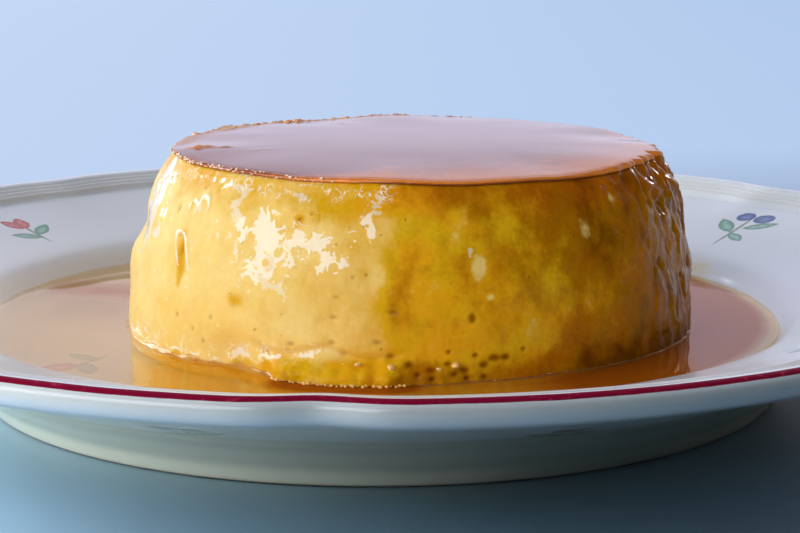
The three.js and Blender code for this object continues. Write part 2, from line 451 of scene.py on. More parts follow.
class Effects:
    """Shader groups that more than one finish uses, each built once."""

    @cached_property
    def mottle(self) -> Tree:
        """Uneven tone between two colours, broad clouds broken up by finer ones."""
        inputs = {"Place": VECTOR, "Cloud": 12.0, "Grain": 2.5, "Grain Share": 0.35, "Contrast": 0.3,
                  "First": COLOUR, "Second": COLOUR}
        sheet = Group("mottle", SHADER_TREE, inputs, {"Colour": COLOUR, "Share": FLOAT})
        given = sheet.given
        cloud = sheet.noise(given["Place"], given["Cloud"], 2.0)
        grain = sheet.noise(given["Place"], given["Grain"], 3.0, 0.6)
        both = sheet.out("ShaderNodeMix", {"Factor": given["Grain Share"], "A": cloud, "B": grain}, "Result")
        half = sheet.times(given["Contrast"], 0.5)
        share = sheet.eased(both, sheet.less(0.5, half), sheet.plus(0.5, half))
        sheet.give("Share", share)
        sheet.give("Colour", sheet.blend(share, given["First"], given["Second"]))
        return sheet.tree

    @cached_property
    def specks(self) -> Tree:
        """Small scattered round specks: only a share of the cells holds one, and each has its own size."""
        inputs = {"Place": VECTOR, "Spacing": 3.0, "Size": 0.5, "Share": 0.5}
        sheet = Group("specks", SHADER_TREE, inputs, {"Mask": FLOAT, "Ring": FLOAT})
        given = sheet.given
        scale = sheet.over(1 / MM, given["Spacing"])
        wires = {"Vector": given["Place"], "Scale": scale, "Randomness": 1.0}
        cell = sheet.node("ShaderNodeTexVoronoi", wires).outputs
        chance = sheet.node("ShaderNodeSeparateColor", {"Color": cell["Color"]}).outputs
        reach = sheet.times(sheet.over(given["Size"], given["Spacing"]), sheet.plus(0.5, chance[1]))
        off = sheet.over(cell["Distance"], reach)
        kept = sheet.math("LESS_THAN", chance[0], given["Share"])
        sheet.give("Mask", sheet.times(kept, sheet.eased(off, 1.0, 0.55)))
        ring = sheet.eased(sheet.math("ABSOLUTE", sheet.less(off, 1.15)), 0.35, 0.0)
        sheet.give("Ring", sheet.times(kept, ring))
        return sheet.tree

    @cached_property
    def relief(self) -> Tree:
        """A height in metres for a Bump node: a coarse swell with a fine skin on it."""
        inputs = {"Place": VECTOR, "Coarse Size": 6.0, "Coarse Amount": 0.1,
                  "Fine Size": 1.0, "Fine Amount": 0.02}
        sheet = Group("relief", SHADER_TREE, inputs, {"Height": FLOAT})
        given = sheet.given
        coarse = sheet.noise(given["Place"], given["Coarse Size"], 1.0)
        fine = sheet.noise(given["Place"], given["Fine Size"], 3.0, 0.6)
        coarse = sheet.times(coarse, given["Coarse Amount"])
        fine = sheet.times(fine, given["Fine Amount"])
        sheet.give("Height", sheet.times(sheet.plus(coarse, fine), MM))
        return sheet.tree

    @cached_property
    def brush_mark(self) -> Tree:
        """One painted mark in a flat place: round like a berry, or pointed like a leaf."""
        names = ("U", "V", "At U", "At V", "Turn", "Length", "Width", "Point")
        inputs = {name: 0.0 for name in names}
        sheet = Group("brush_mark", SHADER_TREE, inputs, {"Mask": FLOAT, "Core": FLOAT})
        given = sheet.given
        across = sheet.less(given["U"], given["At U"])
        up = sheet.less(given["V"], given["At V"])
        cosine, sine = sheet.math("COSINE", given["Turn"]), sheet.math("SINE", given["Turn"])
        along = sheet.plus(sheet.times(across, cosine), sheet.times(up, sine))
        side = sheet.less(sheet.times(up, cosine), sheet.times(across, sine))
        x = sheet.over(along, given["Length"])
        y = sheet.over(side, given["Width"])
        x_square = sheet.times(x, x)
        round_off = sheet.math("SQRT", sheet.plus(x_square, sheet.times(y, y)))
        leaf_off = sheet.plus(sheet.math("ABSOLUTE", y), x_square)
        wires = {"Factor": given["Point"], "A": round_off, "B": leaf_off}
        off = sheet.out("ShaderNodeMix", wires, "Result")
        sheet.give("Mask", sheet.eased(off, 1.08, 0.9))
        sheet.give("Core", sheet.eased(off, 0.75, 0.2))
        return sheet.tree


EFFECTS = Effects()


@dataclass(frozen=True)
class Mark:
    """One brush mark of a printed sprig; lengths in millimetres, u along the rim and v outwards."""

    u: float
    v: float
    turn: float
    length: float
    width: float
    point: float
    tone: Colour


@dataclass(frozen=True)
class Sprig:
    """A small printed sprig, repeated round the plate at one radius."""

    radius: float
    count: int
    first: float
    marks: tuple[Mark, ...]
    strength: float = 1.0
    size: float = 1.3
    wobble: float = 0.5
    wobble_scale: float = 900.0

    def paint(self, sheet: Sheet, place: Socket, under: Socket) -> Socket:
        """Prints the sprigs over a colour.

        Args:
            sheet: The material's tree.
            place: Object coordinates.
            under: The colour of the glaze.

        Returns:
            The colour with the print on it.
        """
        parts = sheet.split(place)
        uneven = sheet.out("ShaderNodeTexNoise", {"Vector": place, "Scale": self.wobble_scale, "Detail": 2.0})
        shift = sheet.times(sheet.less(uneven, 0.5), self.wobble)
        step = math.tau / self.count
        turn = sheet.less(sheet.math("ARCTAN2", parts[1], parts[0]), math.radians(self.first))
        own = sheet.math("WRAP", turn, step / 2, -step / 2)
        flat = sheet.vector("MULTIPLY", place, (1, 1, 0))
        reach = sheet.over(sheet.vector("LENGTH", flat, name="Value"), MM)
        outwards, along = sheet.polar(reach, own)
        u = sheet.over(sheet.plus(along, shift), self.size)
        v = sheet.over(sheet.plus(sheet.less(outwards, self.radius), shift), self.size)
        wash = sheet.eased(uneven, 0.2, 0.75)
        colour = under
        for mark in self.marks:
            wires: Wires = {"U": u, "V": v, "At U": mark.u, "At V": mark.v, "Turn": math.radians(mark.turn),
                            "Length": mark.length, "Width": mark.width, "Point": mark.point}
            drawn = sheet.use(EFFECTS.brush_mark, wires).outputs
            tone = sheet.blend(sheet.times(drawn["Core"], wash), mark.tone, scaled(mark.tone, 1.5, 0.12))
            colour = sheet.blend(sheet.times(drawn["Mask"], self.strength), colour, tone)
        return colour


class Paint(Sheet):
    """Writes a material."""

    def __init__(self, name: str) -> None:
        """Makes an empty material that reads Object coordinates."""
        self.material = bpy.data.materials.new(name)
        self.material.use_nodes = True
        super().__init__(self.material.node_tree)
        self.place = self.out("ShaderNodeTexCoord", name="Object")

    def attribute(self, name: str) -> Socket:
        """A number stored on the mesh."""
        return self.out("ShaderNodeAttribute", name="Fac", attribute_name=name)

    def bump(self, height: Socket, strength: float = 1.0) -> Socket:
        """A normal from a height in metres."""
        return self.out("ShaderNodeBump", {"Height": height, "Strength": strength, "Distance": 1.0})

    def mottle(self, cloud: float, grain: float, grain_share: float, contrast: float, first: Colour,
               second: Colour) -> Sockets:
        """Places the uneven tone between two colours."""
        return self.use(EFFECTS.mottle, {
            "Place": self.place, "Cloud": cloud, "Grain": grain, "Grain Share": grain_share,
            "Contrast": contrast, "First": shade(first), "Second": shade(second)}).outputs

    def specks(self, spacing: float, size: float, share: float) -> Sockets:
        """Places the scattered specks."""
        return self.use(EFFECTS.specks, {
            "Place": self.place, "Spacing": spacing, "Size": size, "Share": share}).outputs

    def relief(self, coarse_size: float, coarse: float, fine_size: float, fine: float) -> Socket:
        """Places the relief, and gives its height."""
        return self.use(EFFECTS.relief, {
            "Place": self.place, "Coarse Size": coarse_size, "Coarse Amount": coarse,
            "Fine Size": fine_size, "Fine Amount": fine}).outputs["Height"]

    def mix(self, share: Socket, first: Socket, second: Socket) -> Socket:
        """A shader between two shaders."""
        return self.out("ShaderNodeMixShader", {0: share, 1: first, 2: second})

    def finish(self, shader: Socket) -> Material:
        """Wires the shader to the surface and gives the material."""
        self.node("ShaderNodeOutputMaterial", {"Surface": shader})
        return self.material


# ---- finishes


@dataclass(frozen=True)
class PlateGlaze:
    """Creamy white glaze over a printed plate, with a crimson line on the lip and a bare foot ring."""

    white: Colour = (0.80, 0.825, 0.84)
    thin: Colour = (0.75, 0.73, 0.655)
    line: Colour = (0.26, 0.003, 0.03)
    line_at: float = 2.8
    line_half_width: float = 0.95
    speck: Colour = (0.30, 0.25, 0.19)
    # The underside is painted a darker olive cream: painted shade, tinted like light bounced off the table.
    cream: Colour = (0.66, 0.67, 0.50)
    bare: Colour = (0.62, 0.55, 0.44)
    blue: Colour = (0.075, 0.13, 0.31)
    green: Colour = (0.16, 0.33, 0.23)
    coral: Colour = (0.52, 0.10, 0.08)
    stem: Colour = (0.20, 0.26, 0.16)

    @property
    def flange_sprigs(self) -> tuple[Sprig, ...]:
        """Berry pairs and buds, taking turns on the flange."""
        berries = (
            Mark(0.0, -1.0, 78, 7.5, 0.35, 0.6, self.stem),
            Mark(-3.2, 2.6, 140, 3.6, 1.5, 1.0, self.green),
            Mark(3.4, 0.2, 35, 3.9, 1.5, 1.0, self.green),
            Mark(-2.6, -3.4, 205, 3.0, 1.2, 1.0, self.green),
            Mark(-1.2, 5.6, 0, 2.2, 2.1, 0.0, self.blue),
            Mark(3.0, 5.0, 0, 1.9, 1.9, 0.0, self.blue),
        )
        bud = (
            Mark(0.0, -2.4, 95, 4.8, 0.35, 0.6, self.stem),
            Mark(2.6, -3.0, 30, 3.3, 1.3, 1.0, self.green),
            Mark(-2.6, -1.6, 150, 3.3, 1.3, 1.0, self.green),
            Mark(-1.2, 2.4, 110, 2.6, 1.5, 0.7, self.coral),
            Mark(1.2, 2.4, 70, 2.6, 1.5, 0.7, self.coral),
        )
        return (Sprig(108.0, 5, 36.0, berries), Sprig(108.0, 5, 0.0, bud))

    @property
    def well_sprigs(self) -> tuple[Sprig, ...]:
        """Small buds in the well, seen through the syrup."""
        bud = (
            Mark(-0.4, -3.0, 60, 5.5, 0.4, 0.6, self.stem),
            Mark(3.6, -1.2, 15, 4.2, 1.6, 1.0, self.green),
            Mark(-3.8, -3.6, 160, 3.8, 1.5, 1.0, self.green),
            Mark(0.8, 2.6, 80, 3.4, 2.5, 0.2, self.coral),
        )
        return (Sprig(72.0, 5, 209.0, bud, 0.85),)

    def lip_line(self, paint: Paint, section: Socket) -> Socket:
        """The mask of the hand-painted line on the lip."""
        hand = paint.times(paint.swing(paint.place, 11.0, 3.0), 0.5)
        off = paint.math("ABSOLUTE", paint.plus(paint.less(section, self.line_at), hand))
        return paint.eased(off, self.line_half_width + 0.1, self.line_half_width - 0.1)

    def material(self) -> Material:
        """The plate's material.

        From the mesh it reads section, the millimetres from the lip's outer end, and thin, how thin the
        glaze lies.
        """
        paint = Paint("plate_glaze")
        section, thinning = paint.attribute("section"), paint.attribute("thin")
        clouds = paint.mottle(38.0, 7.0, 0.3, 0.7, self.white, scaled(self.white, 0.965))
        colour = paint.blend(thinning, clouds["Colour"], self.thin)
        for sprig in (*self.flange_sprigs, *self.well_sprigs):
            colour = sprig.paint(paint, paint.place, colour)
        specks = paint.specks(14.0, 0.32, 0.22)
        colour = paint.blend(paint.times(specks["Mask"], 0.55), colour, self.speck)
        line = self.lip_line(paint, section)
        worn = paint.eased(paint.noise(paint.place, 2.2, 3.0, 0.6), 0.28, 0.44)
        colour = paint.blend(line, colour, paint.blend(worn, scaled(self.line, 1.7, 0.02), self.line))
        # Painted shade: the underside turns a darker olive cream, as if lit only by light bounced off the
        # table.
        below = paint.times(paint.eased(section, -30.0, -40.0), 0.8)
        colour = paint.blend(below, colour, self.cream)
        bare = paint.eased(paint.split(paint.place)[2], 0.9 * MM, 0.35 * MM)
        colour = paint.blend(bare, colour, self.bare)
        wear = paint.noise(paint.place, 3.0, 5.0, 0.7)
        glossy = paint.plus(0.11, paint.times(wear, 0.07))
        shader = paint.out("ShaderNodeBsdfPrincipled", {
            "Base Color": colour, "Roughness": paint.plus(glossy, paint.times(bare, 0.6)), "IOR": 1.55,
            "Normal": paint.bump(paint.relief(16.0, 0.06, 1.6, 0.0016)),
            "Specular IOR Level": paint.less(0.5, paint.times(line, 0.47))})
        return paint.finish(shader)


@dataclass(frozen=True)
class CustardFinish:
    """Baked custard: cream to golden, stained by caramel, under a wet film that breaks up into patches;
    painted shade lies on its right side and painted highlights on its patches.
    """

    cream: Colour = (0.88, 0.58, 0.15)
    pale: Colour = (0.91, 0.68, 0.25)
    gold: Colour = (0.74, 0.395, 0.007)
    amber: Colour = (0.43, 0.162, 0.001)
    brown: Colour = (0.155, 0.048, 0.0005)
    # Painted shade in the pores darkens them towards this brown.
    pore: Colour = (0.42, 0.26, 0.08)
    curdled: Colour = (0.84, 0.62, 0.18)
    # Painted highlight: the wet film's patches are lightened towards this cream.
    painted_film_sheen: Colour = (0.90, 0.83, 0.69)
    # Painted highlight colour for the threads, the ribbon at the foot and the glint dots.
    painted_highlight: Colour = (0.95, 0.86, 0.68)
    wet_tint: Colour = (1.0, 0.58, 0.27)
    subsurface_scale: float = 0.004

    def stained(self, paint: Paint, soak: Socket) -> Socket:
        """The custard from cream to brown, by how much caramel it holds and how much painted shade lies on
        it.

        Args:
            paint: The material's tree.
            soak: How much caramel the custard holds, with painted shade added, from 0 to 1.4.

        Returns:
            The colour.
        """
        tall = paint.vector("MULTIPLY", paint.place, (1.0, 1.0, 0.75))
        coarse = paint.swing(tall, 6.5, 4.0, 0.6)
        fine = paint.times(paint.swing(paint.place, 1.9, 3.0, 0.6), 0.28)
        reach = paint.plus(0.4, paint.times(soak, 0.85))
        stain = paint.plus(soak, paint.times(paint.plus(coarse, fine), reach))
        colour = paint.mottle(9.0, 2.0, 0.25, 0.5, self.pale, self.cream)["Colour"]
        for low, high, tone in ((0.0, 0.4, self.gold), (0.42, 0.85, self.amber), (0.8, 1.5, self.brown)):
            colour = paint.blend(paint.eased(stain, low, high), colour, tone)
        return colour

    @staticmethod
    def varied(paint: Paint, colour: Socket, soak: Socket) -> Socket:
        """Toasts a colour near the top, lets its hue drift and gives it a grain.

        Args:
            paint: The material's tree.
            colour: The stained colour.
            soak: How much caramel the custard holds, with painted shade added.

        Returns:
            The uneven colour.
        """
        toasted = paint.eased(paint.split(paint.place)[2], 43.0 * MM, 49.5 * MM)
        toasted = paint.times(toasted, paint.eased(soak, 0.1, 1.1))
        colour = paint.blend(toasted, colour, (1.1, 0.80, 0.75), "MULTIPLY")
        hue = paint.noise(paint.vector("ADD", paint.place, (0.31, 0.17, 0.09)), 8.0, 2.0)
        turned = paint.blend(paint.eased(hue, 0.38, 0.62), (1.03, 0.95, 1.0), (0.97, 1.05, 1.0))
        colour = paint.blend(paint.eased(soak, 0.12, 0.5), colour, turned, "MULTIPLY")
        grain = paint.eased(paint.noise(paint.place, 0.9, 2.0, 0.6), 0.3, 0.7)
        grain = paint.blend(grain, (0.84, 0.80, 0.72), (1.1, 1.12, 1.1))
        rougher = paint.plus(0.1, paint.times(paint.eased(soak, 0.2, 0.7), 0.35))
        return paint.blend(rougher, colour, grain, "MULTIPLY")

    @staticmethod
    def film_masks(paint: Paint, film: Socket, frill: Socket) -> tuple[Socket, Socket]:
        """Where the wet film holds, with craters in it, and where fine threads of painted highlight lie.

        Args:
            paint: The material's tree.
            film: How well the film holds, from the mesh.
            frill: Where painted highlight threads lie and how strong they are, from the mesh.

        Returns:
            The mask of the patches and the mask of the threads.
        """
        craters = paint.specks(2.9, 0.95, 0.6)
        ragged = paint.swing(paint.place, 2.9, 6.0, 0.62, 0.5)
        held = paint.plus(paint.times(film, 0.8), paint.times(ragged, 3.2))
        held = paint.less(held, paint.times(craters["Mask"], 0.9))
        held = paint.plus(held, paint.times(craters["Ring"], 0.2))
        patches = paint.times(paint.eased(held, 0.49, 0.515), paint.eased(film, 0.06, 0.16))
        thread = paint.math("ABSOLUTE", paint.swing(paint.place, 2.4, 3.0, 0.6, 0.6))
        broken = paint.eased(paint.noise(paint.place, 3.2, 2.0), 0.42, 0.6)
        threads = paint.times(paint.times(paint.eased(thread, 0.035, 0.015), frill), broken)
        return patches, paint.larger(threads, paint.eased(frill, 1.05, 1.2), clamp=True)

    def material(self) -> Material:
        """The custard's material. It reads soak, pit, curd, film, frill and wet from the mesh; soak holds
        painted shade as well as caramel, and frill marks painted highlights.
        """
        paint = Paint("custard_skin")
        soak, pit, curd, film, frill, wet = (
            paint.attribute(name) for name in ("soak", "pit", "curd", "film", "frill", "wet"))
        colour = self.varied(paint, self.stained(paint, soak), soak)
        ragged_curd = paint.plus(curd, paint.times(paint.swing(paint.place, 1.7, 3.0), 0.9))
        colour = paint.blend(paint.eased(ragged_curd, 0.22, 0.72), colour, self.curdled)
        # Painted shade in the pores: the pits and small scattered pores are darkened towards brown.
        pores = paint.specks(2.7, 0.36, 0.3)["Mask"]
        colour = paint.blend(paint.larger(pit, paint.times(pores, 0.3)), colour, self.pore, "MULTIPLY")
        patches, threads = self.film_masks(paint, film, frill)
        # Painted highlight: where the film holds, the colour turns halfway to cream, standing in for the
        # window's reflection.
        colour = paint.blend(paint.times(patches, 0.5), colour, self.painted_film_sheen)
        # Painted highlight threads under the rim and along the foot.
        colour = paint.blend(paint.times(threads, 0.85), colour, self.painted_highlight)
        patches = paint.larger(patches, paint.times(threads, 0.25))
        # Painted glint dots on the paler front; the same dots also take the coat.
        dots = paint.specks(2.3, 0.27, 0.3)["Mask"]
        painted_glints = paint.times(dots, paint.eased(soak, 0.5, 0.2))
        colour = paint.blend(paint.times(painted_glints, 0.75), colour, self.painted_highlight)
        damp = paint.times(paint.less(1.0, wet), 0.06)
        coat = paint.larger(paint.larger(patches, damp), dots)
        relief = paint.plus(paint.relief(2.6, 0.06, 0.8, 0.018), paint.times(pores, -0.12 * MM))
        rough = paint.plus(0.34, paint.times(paint.noise(paint.place, 3.0, 2.0), 0.18))
        rough = paint.times(rough, paint.less(1.0, paint.times(wet, 0.78)))
        shader = paint.out("ShaderNodeBsdfPrincipled", {
            "Base Color": colour, "Roughness": rough, "IOR": 1.45, "Normal": paint.bump(relief),
            "Specular IOR Level": paint.plus(0.05, paint.times(wet, 0.27)),
            "Specular Tint": shade(self.wet_tint),
            "Coat Weight": coat, "Coat Roughness": 0.03, "Coat IOR": 1.55, "Subsurface Weight": 0.35,
            "Subsurface Radius": (1.0, 0.55, 0.16), "Subsurface Scale": self.subsurface_scale})
        return paint.finish(shader)


@dataclass(frozen=True)
class CaramelFinish:
    """Set caramel: deep red-brown where it is thick, amber where it thins out, as glossy as glass."""

    thick: Colour = (0.26, 0.045, 0.008)
    thin: Colour = (0.92, 0.27, 0.03)
    burnt: Colour = (0.055, 0.012, 0.004)

    def material(self) -> Material:
        """The cap's material. It reads rim, dark and dry from the mesh; dark is painted shade on the lip."""
        paint = Paint("set_caramel")
        rim, dark, dry = paint.attribute("rim"), paint.attribute("dark"), paint.attribute("dry")
        clouds = paint.mottle(22.0, 4.0, 0.25, 0.8, self.thick, scaled(self.thick, 1.3))
        uneven = paint.times(paint.swing(paint.place, 4.0, 3.0), 0.4)
        thinned = paint.eased(paint.plus(rim, uneven), 0.15, 0.95)
        colour = paint.blend(thinned, clouds["Colour"], self.thin)
        colour = paint.blend(paint.times(dry, 0.75), colour, (1.0, 0.62, 0.42))
        # Painted shade on the cap's lip at the front and on the right.
        colour = paint.blend(dark, colour, scaled(self.thick, 0.6))
        specks = paint.specks(13.0, 0.5, 0.28)
        colour = paint.blend(specks["Mask"], colour, self.burnt)
        relief = paint.relief(9.0, 0.012, 1.4, 0.0012)
        rough = paint.plus(0.045, paint.times(paint.noise(paint.place, 8.0, 3.0), 0.05))
        rough = paint.plus(rough, paint.times(dry, 0.35))
        shine = paint.less(0.5, paint.times(dry, 0.42))
        shader = paint.out("ShaderNodeBsdfPrincipled", {
            "Base Color": colour, "Roughness": rough, "IOR": 1.5, "Specular IOR Level": shine,
            "Normal": paint.bump(relief), "Subsurface Weight": 0.12,
            "Subsurface Radius": (1.0, 0.3, 0.05), "Subsurface Scale": 0.002})
        return paint.finish(shader)


@dataclass(frozen=True)
class SyrupFinish:
    """Clear caramel syrup that tints what lies under it by its depth and mirrors what stands round it; the
    flan's reflection and the shadow under the flap are also painted into its front.
    """

    name: str = "syrup"
    shallow: Colour = (1.0, 0.97, 0.90)
    deep: Colour = (0.84, 0.64, 0.36)
    milky: Colour = (0.80, 0.52, 0.20)
    dense: Colour = (0.44, 0.11, 0.006)
    cloud: float = 0.3
    ripple: float = 0.02

    def material(self) -> Material:
        """The syrup's top. It reads depth, which is 0 at the thin edge, warm and across from the mesh; warm
        marks where the flan's reflection is painted in stripes that run along across.
        """
        paint = Paint(self.name)
        depth, warm, across = (paint.attribute(name) for name in ("depth", "warm", "across"))
        uneven = paint.times(paint.swing(paint.place, 14.0, 3.0), 0.35)
        share = paint.times(depth, paint.plus(1.0, uneven))
        tint = paint.blend(paint.math("MINIMUM", share, 1.0), self.shallow, self.deep)
        # The deepest syrup turns browner; its depth includes the painted shadow under the flap.
        browner = paint.eased(share, 1.0, 1.9)
        tint = paint.blend(browner, tint, (0.50, 0.19, 0.04))
        specks = paint.specks(9.0, 0.35, 0.3)
        tint = paint.blend(paint.times(specks["Mask"], 0.6), tint, (0.45, 0.22, 0.08))
        relief = paint.relief(12.0, self.ripple, 3.0, self.ripple * 0.06)
        # Stripes across the front of the pool, for the painted reflection of the flan's side.
        wires = {"W": across, "Scale": 0.36, "Detail": 1.0}
        bands = paint.eased(paint.out("ShaderNodeTexNoise", wires, noise_dimensions="1D"), 0.36, 0.64)
        waves = paint.times(paint.times(bands, warm), 0.05 * MM)
        normal = paint.bump(paint.plus(relief, waves))
        gloss = paint.out("ShaderNodeFresnel", {"IOR": 1.45, "Normal": normal})
        back = paint.out("ShaderNodeNewGeometry", name="Backfacing")
        mirrored = paint.times(gloss, paint.less(1.0, back))
        clear = paint.out("ShaderNodeBsdfTransparent", {"Color": tint})
        # Painted reflection: orange stripes of the flan's side in the cloudy syrup where warm is set.
        glow = paint.blend(bands, (0.97, 0.43, 0.02), (1.0, 0.52, 0.04))
        milk = paint.blend(warm, self.milky, glow)
        milk = paint.blend(browner, milk, self.dense)
        wires = {"Base Color": milk, "Roughness": 0.6, "Specular IOR Level": 0.0}
        cloudy = paint.out("ShaderNodeBsdfPrincipled", wires)
        thick = paint.plus(paint.times(browner, 0.5), paint.times(warm, 0.25))
        cloud = paint.times(paint.math("MINIMUM", depth, 1.0), paint.plus(self.cloud, thick), clamp=True)
        body = paint.mix(cloud, clear, cloudy)
        # The mirror is tinted orange where the flan's reflection lies, and turns darker where the syrup is
        # deepest, including the painted shadow under the flap.
        cool = paint.blend(browner, (1.0, 0.93, 0.80), (0.78, 0.63, 0.60))
        near = paint.blend(browner, (1.0, 0.72, 0.24), (0.50, 0.24, 0.06))
        mirror = paint.out("ShaderNodeBsdfGlossy", {
            "Color": paint.blend(warm, cool, near), "Roughness": 0.03, "Normal": normal})
        return paint.finish(paint.mix(mirrored, body, mirror))

    def under_side(self) -> Material:
        """The syrup's underside, which takes nothing more from the light."""
        paint = Paint(self.name + "_underside")
        return paint.finish(paint.out("ShaderNodeBsdfTransparent", {"Color": (1, 1, 1, 1)}))


@dataclass(frozen=True)
class CrumbFinish:
    """Small lumps of set custard or toasted caramel on the rim and at the foot."""

    name: str
    light: Colour
    deep: Colour
    wetness: float = 0.8

    def material(self) -> Material:
        """The lumps' material."""
        paint = Paint(self.name)
        clouds = paint.mottle(2.6, 0.7, 0.4, 0.4, self.light, self.deep)
        specks = paint.specks(0.9, 0.18, 0.4)
        colour = paint.blend(paint.times(specks["Mask"], 0.35), clouds["Colour"], scaled(self.deep, 0.5))
        relief = paint.relief(1.2, 0.08, 0.3, 0.02)
        rough = paint.plus(0.28, paint.times(clouds["Share"], 0.2))
        shader = paint.out("ShaderNodeBsdfPrincipled", {
            "Base Color": colour, "Roughness": rough, "IOR": 1.42, "Normal": paint.bump(relief),
            "Subsurface Weight": 0.2, "Subsurface Radius": (1.0, 0.6, 0.35), "Subsurface Scale": 0.0006,
            "Coat Weight": self.wetness, "Coat Roughness": 0.05})
        return paint.finish(shader)


@dataclass(frozen=True)
class TableFinish:
    """A plain pale table top, fading to the pale backdrop further out."""

    near: Colour = (0.33, 0.48, 0.55)
    far: Colour = (0.58, 0.71, 0.92)
    far_right: Colour = (0.43, 0.575, 0.84)
    fades_from: float = 0.45
    fades_to: float = 0.76
    fades_round: tuple[float, float, float] = (0.22, -0.38, 0.0)

    def material(self) -> Material:
        """The table's material."""
        paint = Paint("table_top")
        clouds = paint.mottle(90.0, 14.0, 0.3, 0.8, self.near, scaled(self.near, 0.9))
        reach = paint.vector("DISTANCE", paint.place, self.fades_round, name="Value")
        distant = paint.eased(reach, self.fades_from, self.fades_to)
        colour = paint.blend(distant, clouds["Colour"], (0.0, 0.0, 0.0))
        shader = paint.out("ShaderNodeBsdfPrincipled", {
            "Base Color": colour, "Roughness": 0.5, "Specular IOR Level": 0.3})
        # The backdrop glows a little dimmer towards the right: painted shade.
        along = paint.eased(paint.split(paint.place)[0], -0.5, 0.5)
        sky = paint.blend(along, self.far, self.far_right)
        glow = paint.out("ShaderNodeEmission", {"Color": sky, "Strength": 1.0})
        return paint.finish(paint.mix(distant, shader, glow))


# ---- geometry tools


